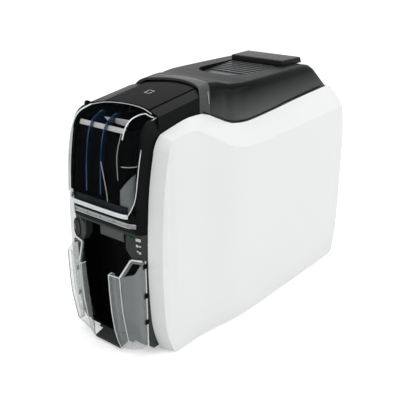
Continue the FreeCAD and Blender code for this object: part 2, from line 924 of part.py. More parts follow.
def cover_ribs():
    # two thin curved guides behind the cover's front, each with a fin at its top
    outer = cover_bubble(cover_half - cover_corner_radius, cover_wall + seat_gap)
    inner = cover_bubble(cover_half, cover_wall + cover_rib_depth)
    low = at_z(cover_line_shares[0][1]) + seam_gap + cover_lip_height + seat_gap
    rear = at_y(cover_profile_shares[1][0])
    half = cover_rib_thickness / 2
    ribs = []
    for side in (-1, 1):
        x = cover_rib_centre + side * cover_rib_spacing / 2
        slab = box(x - half, x + half, -body_depth, rear, low, body_height)
        ribs.append(outer.cut(inner).common(slab))
    return ribs


def roof_plate():
    rows = housing_wires(0)
    half, points = rows[-1]
    bar, flat_line, flat_rear, bottom_rear = points
    y0, z0 = flat_line[-1]
    y1, z1 = flat_rear
    front = (y0 - overrun, z0 - overrun * (z1 - z0) / (y1 - y0))
    rise = roof_plate_thickness
    outline = [front, (y1, z1), (y1, z1 + rise), (front[0], front[1] + rise)]
    plate = yz_prism(outline, -roof_plate_half, roof_plate_half)
    plate = plate.cut(collar_trim(-seam_gap))
    return plate.cut(arc_post(cover_arc_radius, cover_rear_share, seam_gap))


def fascia_plan(forward):
    edge_y, bend_y, throat_y = [at_y(share) - forward for share in fascia_plan_shares]
    bend_x = fascia_half - fascia_bend_share * fascia_pad_width
    right = [(fascia_half, edge_y), (bend_x, bend_y), (throat_half, throat_y)]
    rear = at_y(fascia_rear_share)
    left = [(-x, y) for x, y in reversed(right)]
    return right + left + [(-fascia_half, rear), (fascia_half, rear)]


def front_profile(forward, low, high, rear):
    # side view of the panels' front edge moved forward, closed at the rear
    pts = [V(-body_width, y - forward, z) for y, z in shares_to_yz(panel_front_shares)]
    edges = arcs_through(pts)
    back_low = V(-body_width, rear, pts[0].z)
    back_high = V(-body_width, rear, pts[-1].z)
    edges += [line(pts[-1], back_high), line(back_high, back_low), line(back_low, pts[0])]
    body = Part.Face(Part.Wire(edges)).extrude(V(2 * body_width, 0, 0))
    return body.common(box(-body_width, body_width, -body_depth, body_depth, low, high))


def throat_outline(gap):
    # throat between the pads, widening to the bay under them
    top = at_z(throat_top_share) - gap
    corner = at_z(throat_corner_share) - gap
    low_corner = at_z(pad_corner_share) - gap
    narrow = throat_half - gap
    chamfer = throat_half + pad_chamfer_share * fascia_pad_width - gap
    wide = bay_half - gap
    floor_z = fascia_bottom - overrun
    right = [(wide, floor_z), (wide, low_corner), (chamfer, low_corner), (narrow, corner), (narrow, top)]
    left = [(-x, z) for x, z in reversed(right)]
    return right + left


def fascia_block(grow):
    # columns and pads round the throat; grown, it is the room they need
    low = fascia_bottom - grow
    top = at_z(fascia_top_share)
    rear = at_y(fascia_rear_share)
    forward = at_y(panel_front_shares[3][0]) - at_y(fascia_plan_shares[2]) + grow
    block = xy_prism(fascia_plan(grow), low, top)
    block = block.common(front_profile(forward, low, top, rear + overrun))
    return block.cut(xz_prism(throat_outline(grow), -body_depth, rear + overrun))


def lower_fascia():
    block = fascia_block(0).cut(button_solid(seat_gap))
    for lens in light_lenses(seat_gap / 2):
        block = block.cut(lens)
    return block.removeSplitter()


def fascia_face_y(x):
    # front of the fascia at a distance from the middle
    edge, bend, throat = fascia_plan(0)[:3]
    for near, far in ((edge, bend), (bend, throat)):
        if far[0] <= abs(x) <= near[0]:
            part = (abs(x) - far[0]) / (near[0] - far[0])
            return far[1] + part * (near[1] - far[1])
    return throat[1]


def button_solid(grow):
    # upright stadium on the left of the fascia
    z = at_z(button_share)
    face = fascia_face_y(button_x)
    radius = button_width / 2 + grow
    half = button_height / 2 - button_width / 2
    y0 = face - button_proud
    y1 = y0 + button_depth + (button_proud + button_travel if grow else 0)
    body = box(-button_x - radius, -button_x + radius, y0, y1, z - half, z + half)
    for side in (-1, 1):
        body = body.fuse(y_cylinder(radius, -button_x, y0, y1, z + side * half))
    return body.removeSplitter()


def light_lenses(grow):
    # two green lamps and three small icon windows; grown, they are the holes for them
    places = [(side * light_x, light_share, light_width, light_height) for side in (-1, 1)]
    places += [(icon_x, share, icon_width, icon_height) for share in icon_shares]
    lenses = []
    for x, share, width, height in places:
        face = fascia_face_y(x)
        front = face - (overrun if grow else light_proud)
        rear = face + light_depth + grow
        z = at_z(share)
        wide = width / 2 + grow
        high = height / 2 + grow
        lenses.append(box(x - wide, x + wide, front, rear, z - high, z + high))
    return lenses


def throat_liner():
    front = at_y(fascia_plan_shares[1]) + moulding_wall
    back = at_y(liner_back_share)
    outer = xz_prism(throat_outline(seat_gap), front, back)
    inner = xz_prism(throat_outline(seat_gap + liner_wall), front - overrun, back - liner_wall)
    low = fascia_bottom
    keep = box(-body_width, body_width, -body_depth, body_depth, low, body_height)
    liner = outer.cut(inner).common(keep)
    limit = front_profile(0, low, at_z(throat_top_share), back + overrun)
    liner = liner.common(limit)
    slot_z = at_z(exit_slot_share)
    half = card_width / 2 + seat_gap
    slot = box(-half, half, back - overrun, back + overrun, slot_z, slot_z + exit_slot_height)
    return liner.cut(slot)


def output_floor():
    front = at_y(floor_front_share)
    back = at_y(liner_back_share) - liner_wall - seat_gap
    half = bay_half - seat_gap - liner_wall - seat_gap
    return box(-half, half, front, back, fascia_bottom, fascia_bottom + floor_thickness)


def wing_crease_x():
    return wing_gap_half + wing_crease_share * (wing_rear_half - wing_gap_half)


def wing_section(row, z):
    # outline of one wing from above at a height
    lip_rear, lip_front, crease, corner = [at_y(share) for share in row[1:]]
    points = [
        V(wing_gap_half - wing_lip_width / 2, lip_rear, z),
        V(wing_gap_half, lip_front, z),
        V(wing_crease_x(), crease, z),
        V(wing_rear_half - wing_lip_width / 2, corner, z),
        V(wing_rear_half, at_y(wing_side_y_share), z),
    ]
    return Part.makePolygon(points + points[:1])


def wing_hollow(row, z):
    # the same outline one wall further in, open towards the rear
    lip_front, crease, corner = [at_y(share) + wing_wall for share in row[2:]]
    side = wing_rear_half - wing_wall
    rear = at_y(wing_side_y_share) + overrun
    lip = wing_gap_half + wing_lip_width
    points = [
        V(lip, lip_front + wing_lip_width, z),
        V(wing_crease_x(), crease, z),
        V(side - wing_lip_width / 2, corner, z),
        V(side, rear, z),
        V(lip, rear, z),
    ]
    return Part.makePolygon(points + points[:1])


def wing_shell():
    rows = wing_level_shares
    heights = [at_z(row[0]) for row in rows]
    outer = Part.makeLoft([wing_section(row, z) for row, z in zip(rows, heights)], True, True)
    heights = [heights[0] + wing_wall] + heights[1:-1] + [heights[-1] + overrun]
    inner = Part.makeLoft([wing_hollow(row, z) for row, z in zip(rows, heights)], True, True)
    return outer.cut(inner)


def wing_top_cuts():
    # what is taken off above the pane's top edge and above the side's rising edge
    roof = at_z(wing_level_shares[-1][0]) + overrun
    crease_z = at_z(wing_crease_top_share)
    corner_z = at_z(wing_corner_top_share)
    lip_z = at_z(wing_lip_top_share)
    side = wing_rear_half - wing_wall
    crease_x = wing_crease_x()
    over_pane = [(0, lip_z), (wing_gap_half, lip_z), (crease_x, crease_z), (side, corner_z)]
    over_pane += [(side, roof), (0, roof)]
    front = xz_prism(over_pane, -body_depth, 0)
    corner_y = at_y(wing_level_shares[-1][4])
    rear_y = at_y(wing_side_y_share)
    rear_z = at_z(wing_rear_top_share)
    over_side = [(-body_depth, corner_z), (corner_y, corner_z), (rear_y, rear_z), (0, rear_z)]
    over_side += [(0, roof), (-body_depth, roof)]
    return front, yz_prism(over_side, 0, body_width)


def slanted_bar(start, end, width, height):
    # square bar between two points, its ends facing forward
    x, y, z = start
    corners = [V(x, y, z), V(x + width, y, z), V(x + width, y, z + height), V(x, y, z + height)]
    return prism(corners, V(end[0] - x, end[1] - y, end[2] - z))


def output_wing():
    shell = wing_shell()
    for cut in wing_top_cuts():
        shell = shell.cut(cut)
    size = wing_rail_size
    crease_y = at_y(wing_level_shares[-1][3]) + wing_wall / 2
    rail_x = throat_half + wing_rail_end_share * bay_side
    rail_y = fascia_face_y(rail_x) - seat_gap
    rail_z = at_z(wing_rail_low_share)
    start = (wing_crease_x() - wing_wall, crease_y, at_z(wing_crease_top_share) - size)
    end = (rail_x, rail_y, rail_z)
    shell = shell.fuse(slanted_bar(start, end, size, size))
    bar_rear = rail_y - size / 2
    corners = [V(rail_x, bar_rear, rail_z), V(rail_x, rail_y, rail_z), V(rail_x, rail_y, rail_z + size)]
    corners.append(V(rail_x, bar_rear, rail_z + size))
    side_y = fascia_face_y(wing_rear_half - wing_wall) - seat_gap
    rise = at_z(wing_rear_top_share) - size - rail_z
    reach = V(wing_rear_half - wing_wall / 2 - rail_x, side_y - rail_y, rise)
    shell = shell.fuse(prism(corners, reach))
    return shell.cut(fascia_block(seat_gap)).removeSplitter()


def wing_clips():
    # thin tabs that bridge the seam between the wings and the fascia
    clips = []
    near = wing_rear_half + seat_gap
    rear = fascia_face_y(near) - seat_gap
    for share in wing_clip_shares:
        z = at_z(share)
        for side in (-1, 1):
            x0, x1 = sorted((side * near, side * (near + wing_clip_thickness)))
            clips.append(box(x0, x1, rear - wing_clip_depth, rear, z, z + wing_clip_height))
    return clips


def exit_flap():
    y = at_y(flap_share)
    z = at_z(throat_top_share) - liner_wall - flap_pin_radius - 2 * seat_gap
    plate = box(-flap_half, flap_half, y - flap_thickness / 2, y + flap_thickness / 2, z - flap_height, z)
    half = throat_half - seat_gap - liner_wall - seat_gap
    return plate.fuse(x_cylinder(flap_pin_radius, -half, half, y, z)).removeSplitter()


def lid_wire(row, inset, low):
    y_share, bottom_share, top_share, height_share, radius = row
    y = at_y(y_share)
    bottom = bottom_share * half_width - inset
    top = top_share * half_width - inset
    height = at_z(height_share) - inset
    lean = (bottom - top) / (height - low)
    r = radius - inset / 2
    shoulder = V(top + lean * r, y, height - r)
    crown = V(top - r, y, height)
    bend = math.sqrt(2) / 2
    middle = V(top - r + r * bend, y, height - r + r * bend)

    def flip(p):
        return V(-p.x, p.y, p.z)
    low_right = V(bottom, y, low)
    edges = [
        line(low_right, shoulder),
        arc(shoulder, middle, crown),
        line(crown, flip(crown)),
        arc(flip(crown), flip(middle), flip(shoulder)),
        line(flip(shoulder), flip(low_right)),
        line(flip(low_right), low_right),
    ]
    return Part.Wire(edges)


def lid_skin(inset, low):
    wires = [lid_wire(row, inset, low) for row in refined(lid_station_shares)]
    return Part.makeLoft(wires, True, True)


lid_low = at_z(lid_bottom_share)


def lid_hollow():
    return lid_skin(lid_wall, lid_low - overrun)


def crest_post(grow):
    return arc_post(crest_arc_radius, crest_middle_share, grow)


def lid_collar():
    ring = lid_skin(0, lid_low).cut(lid_hollow())
    ring = ring.common(collar_trim(seam_gap))
    ring = ring.common(crest_post(-seat_gap / 2))
    ring = ring.cut(behind_line(crest_middle_share))
    return keep_clear_of_panels(ring)


def behind_line(share):
    y = at_y(share) + overrun
    return box(-body_width, body_width, y, body_depth, -overrun, body_height + overrun)


def keep_clear_of_panels(shape):
    front = at_y(lid_station_shares[0][0]) - overrun
    rear = at_y(lid_station_shares[-1][0]) + overrun
    plan = xy_prism(plan_outline(2 * seam_gap, front, rear), 0, body_height + overrun)
    return shape.common(plan)


def pad_plan(grow):
    # D shape: round towards the front, straight at the rear
    front = at_y(pad_front_share) - grow
    rear = at_y(pad_rear_share) + grow
    half = pad_half + grow
    r = pad_round + grow
    bend = math.sqrt(2) / 2
    low_z = lid_low
    a = V(half, rear, low_z)
    b = V(half, front + r, low_z)
    b_mid = V(half - r + r * bend, front + r - r * bend, low_z)
    c = V(half - r, front, low_z)

    def flip(p):
        return V(-p.x, p.y, p.z)
    edges = [line(a, b), arc(b, b_mid, c), line(c, flip(c)), arc(flip(c), flip(b_mid), flip(b)),
             line(flip(b), flip(a)), line(flip(a), a)]
    return Part.Wire(edges)


def pad_prism(grow, z0, z1):
    body = Part.Face(pad_plan(grow)).extrude(V(0, 0, z1 - z0))
    body.translate(V(0, 0, z0 - lid_low))
    return body


deck_z = at_z(lid_station_shares[6][3])


def lid_shell():
    shell = lid_skin(0, lid_low).cut(lid_hollow())
    shell = shell.cut(crest_post(0))
    front_y = at_y(crest_middle_share) - crest_arc_radius
    shell = shell.cut(box(-body_width, body_width, -body_depth, front_y, -overrun, body_height + overrun))
    well = pad_prism(seam_gap + pad_skirt, deck_z - pad_skirt_depth, deck_z - lid_wall / 2)
    shell = shell.fuse(well.common(lid_skin(lid_wall / 2, lid_low)))
    shell = shell.cut(pad_prism(seam_gap, lid_low - overrun, body_height + overrun))
    top = carrier_top()
    for side in (-1, 1):
        for share in (head_y_share - lid_boss_share, head_y_share + lid_boss_share):
            near = lid_boss_x - lid_boss_size / 2
            x0, x1 = sorted((side * near, side * (near + lid_boss_size)))
            y = at_y(share)
            post = box(x0, x1, y - lid_boss_size / 2, y + lid_boss_size / 2, top, deck_z)
            shell = shell.fuse(post.common(lid_skin(lid_wall / 2, lid_low)))
    for side in (-1, 1):
        shell = shell.cut(lid_hinge_notch(side))
        shell = shell.fuse(lid_hinge_lug(side))
    y, z = lid_hinge_place()
    outer = lid_hinge_outer()
    return shell.cut(x_cylinder(lid_hinge_radius + running_gap, -outer, outer, y, z))


def carrier_top():
    return at_z(carrier_share)


def lid_hinge_place():
    return at_y(lid_hinge_share[0]), at_z(lid_hinge_share[1])


def lid_hinge_lug(side):
    # ear inside the lid's rear corner with the bore for the hinge pin
    y, z = lid_hinge_place()
    outer = lid_hinge_outer()
    x0, x1 = sorted((side * (outer - lid_hinge_length / 2), side * (outer + lid_wall / 2)))
    ear = x_cylinder(lid_ear_radius, x0, x1, y, z)
    return ear.fuse(box(x0, x1, y - lid_ear_radius - lid_wall, y, z - lid_ear_radius, z + lid_ear_radius))


def lid_hinge_outer():
    return lid_station_shares[-1][1] * half_width - lid_wall


def hinge_pins():
    y, z = lid_hinge_place()
    outer = lid_hinge_outer()
    pins = []
    for side in (-1, 1):
        x0, x1 = sorted((side * (outer - lid_hinge_length), side * (outer - seat_gap)))
        pins.append(x_cylinder(lid_hinge_radius, x0, x1, y, z))
    return pins


def lid_hinge_notch(side):
    # room in the lid's rear edge for the rear cover's ear
    y, z = lid_hinge_place()
    outer = lid_hinge_outer() - lid_hinge_length / 2
    inner = lid_hinge_outer() - lid_hinge_length - seat_gap
    x0, x1 = sorted((side * inner, side * outer))
    return box(x0, x1, y - lid_ear_radius - seat_gap, body_depth, 0, body_height)


def rear_hinge_ear(side):
    # ear on the rear cover that holds the hinge pin's inner end
    y, z = lid_hinge_place()
    outer = lid_hinge_outer()
    x0, x1 = sorted((side * (outer - lid_hinge_length), side * (outer - lid_hinge_length / 2 - seat_gap)))
    radius = lid_hinge_radius + lid_hinge_wall
    ear = x_cylinder(radius, x0, x1, y, z)
    ear = ear.fuse(box(x0, x1, y, at_y(rear_top_y_share) + moulding_wall, z - radius, z + lid_hinge_wall))
    return ear.cut(x_cylinder(lid_hinge_radius + running_gap, -body_width, body_width, y, z))


def release_pad():
    # sloping ribbed push pad in the lid's well
    top = deck_z - pad_recess
    base = top - pad_front_drop - pad_thickness
    body = pad_prism(0, base, body_height)
    front = at_y(pad_front_share)
    rear = at_y(pad_rear_share)
    low_top = top - pad_front_drop
    outline = [(front, low_top), (rear, top), (rear, body_height + overrun), (front, body_height + overrun)]
    body = body.cut(yz_prism(outline, -half_width, half_width))
    slope = pad_front_drop / (rear - front)
    half = pad_half - pad_rib_width
    for i in range(pad_rib_count):
        y = rear - pad_rib_width - i * pad_rib_pitch
        z = top - slope * (rear - y)
        rib = box(-half, half, y - pad_rib_width, y, z - pad_rib_height, z + pad_rib_height)
        body = body.fuse(rib.common(pad_prism(-pad_rib_width / 2, base, body_height)))
    return body.removeSplitter()


def grip_block():
    # raised block behind the pad, the highest point of the printer
    low = deck_z - lid_wall / 2
    f = at_y(block_front_share)
    r = at_y(block_rear_share)
    plan = [(-block_front_half, f), (block_front_half, f), (block_rear_half, r), (-block_rear_half, r)]
    body = xy_prism(plan, low, body_height)
    ramp = [(r - block_slope, body_height), (r + overrun, body_height), (r + overrun, low), (r, low)]
    body = body.cut(yz_prism(ramp, -body_width, body_width))

    def on_top(edge):
        limits = edge.BoundBox
        return limits.ZMin > body_height - seat_gap
    return fillet_where(body, block_radius, on_top).cut(lid_skin(0, lid_low))


def latch_bar():
    y = at_y(latch_share)
    half = latch_bar_size / 2
    z = carrier_top() - carrier_plate - seat_gap - half
    bar = box(-latch_leg_x, latch_leg_x, y - half, y + half, z - half, z + half)
    for side in (-1, 1):
        x0, x1 = sorted((side * (latch_leg_x - latch_leg_width), side * latch_leg_x))
        leg = box(x0, x1, y - half, y + half, z - latch_leg_drop, z)
        foot = z - latch_leg_drop
        tongue = box(x0, x1, y - half - latch_tongue, y, foot, foot + latch_tongue)
        bar = bar.fuse(leg).fuse(tongue)
    return bar.removeSplitter()


def head_carrier():
    z1 = carrier_top()
    z0 = z1 - carrier_plate
    y0 = platen_y - carrier_depth / 2
    y1 = platen_y + carrier_depth / 2
    half = lid_boss_x + lid_boss_size / 2
    body = box(-half, half, y0, y1, z0, z1)
    inner = head_half + seat_gap
    low = path_z + head_gap + head_height / 2
    guide_y = at_y(latch_share) - latch_guide_lead
    for side in (-1, 1):
        x0, x1 = sorted((side * (latch_leg_x - latch_guide_width), side * latch_leg_x))
        body = body.fuse(box(x0, x1, guide_y, y0, z0, z1))
        x0, x1 = sorted((side * inner, side * (inner + carrier_cheek)))
        body = body.fuse(box(x0, x1, y0, y1, low, z1))
    shelf_z = path_z + head_gap + head_height
    shelf_low = shelf_z + head_fin_height + seat_gap
    shelf = box(-inner, inner, y0, y1, shelf_low, shelf_low + carrier_plate)
    return body.fuse(shelf).removeSplitter()


def print_head():
    low = path_z + head_gap
    high = low + head_height
    y0 = platen_y - head_depth / 2
    y1 = platen_y + head_depth / 2
    wedge = [(platen_y - pinch_radius, low), (platen_y + pinch_radius, low), (y1, low + pinch_radius),
             (y1, high), (y0, high), (y0, low + pinch_radius)]
    body = yz_prism(wedge, -head_half, head_half)
    pitch = 2 * head_half / (2 * head_fin_count - 1)
    for i in range(head_fin_count):
        x0 = -head_half + 2 * i * pitch
        body = body.fuse(box(x0, x0 + pitch, y0, y1, high - seat_gap, high + head_fin_height))
    return body.removeSplitter()


def roller_rubber(row):
    name, y, z, radius = row
    sleeve = x_cylinder(radius, -roller_half, roller_half, y, z)
    return sleeve.cut(x_cylinder(shaft_radius, -body_width, body_width, y, z))


def pulley_inner_x():
    return frame_face + frame_thickness + pulley_gap


def roller_shaft(row):
    # steel shaft with its toothed-belt pulley moulded on the left end
    name, y, z, radius = row
    left = -(pulley_inner_x() + pulley_width + flange_width)
    right = frame_face + frame_thickness + pulley_gap
    shaft = x_cylinder(shaft_radius, left, right, y, z)
    return shaft.fuse(pulley(y, z)).removeSplitter()


def pulley(y, z):
    x0 = -(pulley_inner_x() + pulley_width)
    x1 = -pulley_inner_x()
    drum = x_cylinder(pulley_radius, x0, x1, y, z)
    drum = drum.fuse(x_cylinder(flange_radius, x1 - flange_width, x1, y, z))
    return drum.fuse(x_cylinder(flange_radius, x0 - flange_width, x0, y, z))


def idler(y, z, radius):
    # one-piece roller with its own journals
    end = frame_face + frame_thickness
    body = x_cylinder(radius, -roller_half, roller_half, y, z)
    return body.fuse(x_cylinder(shaft_radius, -end, end, y, z)).removeSplitter()


def motor_pulley():
    left = -(pulley_inner_x() + pulley_width + flange_width)
    right = -(frame_face - motor_depth / 2 + seat_gap)
    shaft = x_cylinder(motor_shaft_radius, left, right, motor_y, motor_z)
    return shaft.fuse(pulley(motor_y, motor_z)).removeSplitter()


def feed_motor():
    half = motor_size / 2
    x0 = -frame_face
    body = box(x0, x0 + motor_depth, motor_y - half, motor_y + half, motor_z - half, motor_z + half)
    radius = motor_shaft_radius + running_gap
    recess = x_cylinder(radius, x0 - overrun, x0 + motor_depth / 2, motor_y, motor_z)
    return body.cut(recess)


def belt_corners():
    # pulley centres round the belt, in order
    by_name = {row[0]: row for row in roller_rows}
    centres = [(motor_y, motor_z)]
    for name in ("platen", "infeed", "pick", "exit"):
        centres.append(by_name[name][1:3])
    return centres


def belt_loop(offset, x0, x1):
    # convex loop round all pulleys at a distance from their centres
    centres = belt_corners()
    spans = []
    count = len(centres)
    for i in range(count):
        (ya, za), (yb, zb) = centres[i], centres[(i + 1) % count]
        length = math.hypot(yb - ya, zb - za)
        normal = ((zb - za) / length, -(yb - ya) / length)
        start = V(x0, ya + offset * normal[0], za + offset * normal[1])
        end = V(x0, yb + offset * normal[0], zb + offset * normal[1])
        spans.append((start, end, normal))
    edges = []
    for i in range(count):
        start, end, normal = spans[i]
        next_start, next_end, next_normal = spans[(i + 1) % count]
        yc, zc = centres[(i + 1) % count]
        edges.append(line(start, end))
        bisector = (normal[0] + next_normal[0], normal[1] + next_normal[1])
        size = math.hypot(bisector[0], bisector[1])
        middle = V(x0, yc + offset * bisector[0] / size, zc + offset * bisector[1] / size)
        edges.append(arc(end, middle, next_start))
    return Part.Face(Part.Wire(edges)).extrude(V(x1 - x0, 0, 0))


def drive_belt():
    x0 = -(pulley_inner_x() + pulley_width) + seat_gap
    x1 = -(pulley_inner_x() + flange_width) - seat_gap
    inner = pulley_radius + belt_gap
    return belt_loop(inner + belt_thickness, x0, x1).cut(belt_loop(inner, x0, x1))


def card_hopper():
    half = card_width / 2 + hopper_half_gap
    y0 = at_y(hopper_front_share)
    y1 = y0 + card_length + card_gap
    floor_z = path_z
    top = at_z(hopper_top_share)
    outer = box(-half - hopper_wall, half + hopper_wall, y0, y1 + hopper_wall, floor_z - hopper_floor, top)
    inner = box(-half, half, y0 - overrun, y1, floor_z, top + overrun)
    bucket = outer.cut(inner)
    slot = 2 * pick_radius + 2 * card_gap
    pick_y = at_y(pick_share)
    wide = roller_half + seat_gap
    low = floor_z - overrun
    window = box(-wide, wide, pick_y - slot / 2, pick_y + slot / 2, low, floor_z + overrun)
    bucket = bucket.cut(window)
    feed_slot = box(-half, half, y1 - overrun, y1 + overrun, floor_z, floor_z + card_gap)
    bucket = bucket.cut(feed_slot)
    narrow = hopper_slot_width / 2
    guide = box(-narrow, narrow, y1 - overrun, y1 + overrun, floor_z + card_gap, top + overrun)
    return bucket.cut(guide)


def card_weight():
    half = card_width / 2
    y0 = at_y(hopper_front_share) + card_gap
    y1 = at_y(hopper_front_share) + card_length + card_gap - seat_gap
    z0 = path_z + seat_gap + card_gap
    z1 = z0 + weight_thickness
    body = box(-half, half, y0, y1, z0, z1)
    tongue = hopper_slot_width / 2 - seat_gap
    body = body.fuse(box(-tongue, tongue, y1 - overrun, y1 + hopper_wall, z0, z1))
    grip = box(-half / 2, half / 2, y0 + weight_grip, y0 + 2 * weight_grip, z1 - seat_gap, z1 + weight_grip)
    return body.fuse(grip).removeSplitter()


def spool(y):
    # ribbon core with end flanges and stub shafts that drop into the frames' slots
    core = x_cylinder(spool_core_radius, -ribbon_half, ribbon_half, y, spool_z)
    for side in (-1, 1):
        x0, x1 = sorted((side * ribbon_half, side * (ribbon_half + spool_flange_width)))
        core = core.fuse(x_cylinder(spool_flange_radius, x0, x1, y, spool_z))
        x0, x1 = sorted((side * ribbon_half, side * (frame_face + frame_thickness)))
        core = core.fuse(x_cylinder(spool_stub_radius, x0, x1, y, spool_z))
    return core.removeSplitter()


def takeup_spool():
    stub = x_cylinder(spool_stub_radius, 0, gear_x + gear_width, takeup_y, spool_z)
    return spool(takeup_y).fuse(stub).removeSplitter()


def ribbon_roll():
    half = ribbon_half - seat_gap
    roll = x_cylinder(ribbon_radius, -half, half, supply_y, spool_z)
    return roll.cut(x_cylinder(spool_core_radius, -body_width, body_width, supply_y, spool_z))


def involute_point(base, angle):
    along = math.cos(angle) + angle * math.sin(angle)
    across = math.sin(angle) - angle * math.cos(angle)
    return base * along, base * across


def spur_gear(teeth, turn, y, z):
    pitch = gear_module * teeth / 2
    outer = pitch + gear_module
    root = pitch - gear_module - gear_clearance
    base = pitch * math.cos(math.radians(pressure_angle))
    start = 0
    if root > base:
        start = math.sqrt((root / base) ** 2 - 1)
    end = math.sqrt((outer / base) ** 2 - 1)
    at_pitch = math.sqrt((pitch / base) ** 2 - 1)
    lean = at_pitch - math.atan(at_pitch)
    half_tooth = math.pi / teeth / 2 - gear_backlash / 2 / pitch
    steps = 4
    flank = []
    for i in range(steps + 1):
        py, pz = involute_point(base, start + (end - start) * i / steps)
        angle = math.atan2(pz, py) - lean - half_tooth
        flank.append((math.hypot(py, pz), angle))
    outline = []
    for tooth in range(teeth):
        centre = turn + tooth * FULL_TURN / teeth
        if root < base:
            outline.append((root, centre + flank[0][1]))
        outline += [(r, centre + a) for r, a in flank]
        outline += [(r, centre - a) for r, a in reversed(flank)]
        if root < base:
            outline.append((root, centre - flank[0][1]))
    points = [(y + r * math.cos(a), z + r * math.sin(a)) for r, a in outline]
    return yz_prism(points, gear_x, gear_x + gear_width)


def takeup_gear():
    # a tooth points straight forward to the pinion
    gear = spur_gear(gear_teeth, FULL_TURN / 2, takeup_y, spool_z)
    return gear.cut(x_cylinder(spool_stub_radius, 0, body_width, takeup_y, spool_z))


def takeup_pinion():
    # a tooth space points straight back to the gear
    turn = FULL_TURN / pinion_teeth / 2
    pinion = spur_gear(pinion_teeth, turn, pinion_y, spool_z)
    inner = frame_face - takeup_motor_depth / 2 + seat_gap
    shaft = x_cylinder(motor_shaft_radius, inner, gear_x + gear_width, pinion_y, spool_z)
    return pinion.fuse(shaft).removeSplitter()


def takeup_motor():
    body = x_cylinder(takeup_motor_radius, frame_face - takeup_motor_depth, frame_face, pinion_y, spool_z)
    inner = frame_face - takeup_motor_depth / 2
    recess = x_cylinder(motor_shaft_radius + running_gap, inner, frame_face + overrun, pinion_y, spool_z)
    return body.cut(recess)


def rear_profile(inset, x0, x1):
    y = at_y(rear_plane_share) - inset
    top_y = at_y(rear_top_y_share)
    top = at_z(rear_top_share) - inset
    low = rear_bottom
    middle = V(x0, y - rear_round / 3, top - rear_round / 4)
    pts = [V(x0, y, low), V(x0, y, top - rear_round), middle, V(x0, top_y, top)]
    edges = [line(pts[0], pts[1]), arc(pts[1], pts[2], pts[3])]
    inner_y = top_y
    if inset:
        inner_y = top_y - overrun
        edges.append(line(pts[3], V(x0, inner_y, top)))
    edges.append(line(V(x0, inner_y, top), V(x0, inner_y, low)))
    edges.append(line(V(x0, inner_y, low), pts[0]))
    return Part.Face(Part.Wire(edges)).extrude(V(x1 - x0, 0, 0))


def sockets():
    # x, bottom, body width, body height, hole width, hole height
    z = at_z(inlet_share)
    return [
        (usb_x, z, usb_width, usb_height, usb_hole_width, usb_hole_height),
        (lan_x, z, lan_width, lan_height, lan_hole_width, lan_hole_height),
    ]


def rear_face_y():
    return at_y(rear_plane_share)


def rear_cover():
    half = rear_half - 2 * seam_gap
    inside = half - moulding_wall
    shell = rear_profile(0, -half, half).cut(rear_profile(moulding_wall, -inside, inside))
    inner_y = rear_face_y() - moulding_wall
    shell = shell.cut(box(-inside, inside, -body_depth, inner_y, 0, rear_bottom + overrun))
    z = at_z(vent_share)
    low = z - vent_height / 2
    high = z + vent_height / 2
    for i in range(vent_count):
        x = (i - (vent_count - 1) / 2) * vent_pitch
        shell = shell.cut(box(x - vent_width / 2, x + vent_width / 2, 0, body_depth, low, high))
    for x, z, width, height, hole_width, hole_height in sockets():
        wide = width / 2 + seat_gap
        shell = shell.cut(box(x - wide, x + wide, 0, body_depth, z - seat_gap, z + height + seat_gap))
    low = at_z(inlet_share) - seat_gap
    high = at_z(inlet_share) + inlet_size + seat_gap
    wide = inlet_size / 2 + seat_gap
    shell = shell.cut(box(inlet_x - wide, inlet_x + wide, 0, body_depth, low, high))
    for x, z in screw_places():
        seat = rear_face_y() - screw_recess
        shell = shell.cut(y_cylinder(screw_radius + seat_gap, x, seat, body_depth, z))
        shell = shell.cut(y_cylinder(screw_shank + seat_gap, x, 0, body_depth, z))
    for side in (-1, 1):
        shell = shell.fuse(rear_hinge_ear(side))
    return shell.removeSplitter()


def screw_places():
    x = rear_half - 2 * screw_radius - moulding_wall
    low = rear_bottom + 2 * screw_radius
    high = at_z(rear_top_share) - rear_round - screw_radius
    return [(-x, low), (x, low), (-x, high), (x, high)]


def rear_screws():
    screws = []
    for x, z in screw_places():
        seat = rear_face_y() - screw_recess
        head = y_cylinder(screw_radius, x, seat, seat + screw_head - seat_gap, z)
        shank = y_cylinder(screw_shank, x, seat - screw_length, seat, z)
        slot_y = seat + screw_recess / 2
        slot = box(x - screw_radius, x + screw_radius, slot_y, body_depth, z - seat_gap, z + seat_gap)
        screws.append(head.fuse(shank).cut(slot).removeSplitter())
    return screws


def socket_bodies():
    bodies = []
    y1 = rear_face_y()
    for x, z, width, height, hole_width, hole_height in sockets():
        body = box(x - width / 2, x + width / 2, y1 - usb_depth, y1, z, z + height)
        mid = z + height / 2
        hole = box(x - hole_width / 2, x + hole_width / 2, y1 - socket_hole_depth, y1 + overrun,
                   mid - hole_height / 2, mid + hole_height / 2)
        bodies.append(body.cut(hole))
    return bodies


def power_inlet():
    y1 = rear_face_y()
    z = at_z(inlet_share)
    half = inlet_size / 2
    body = box(inlet_x - half, inlet_x + half, y1 - inlet_depth, y1, z, z + inlet_size)
    bore = y_cylinder(inlet_bore, inlet_x, y1 - inlet_hole_depth, y1 + overrun, z + half)
    return body.cut(bore)


def fan_housing():
    y1 = rear_face_y() - moulding_wall
    z = at_z(fan_share)
    half = fan_size / 2
    body = box(fan_x - half, fan_x + half, y1 - fan_depth, y1, z - half, z + half)
    body = body.cut(y_cylinder(fan_bore, fan_x, 0, body_depth, z))
    reach = fan_bore + overrun / 2
    y0 = y1 - fan_depth
    strut_y = y0 + moulding_wall / 2
    wide = fan_blade_thickness
    strut = box(fan_x - reach, fan_x + reach, y0, strut_y, z - wide, z + wide)
    hub = y_cylinder(fan_hub, fan_x, y0, strut_y, z)
    return body.fuse(strut).fuse(hub).removeSplitter()


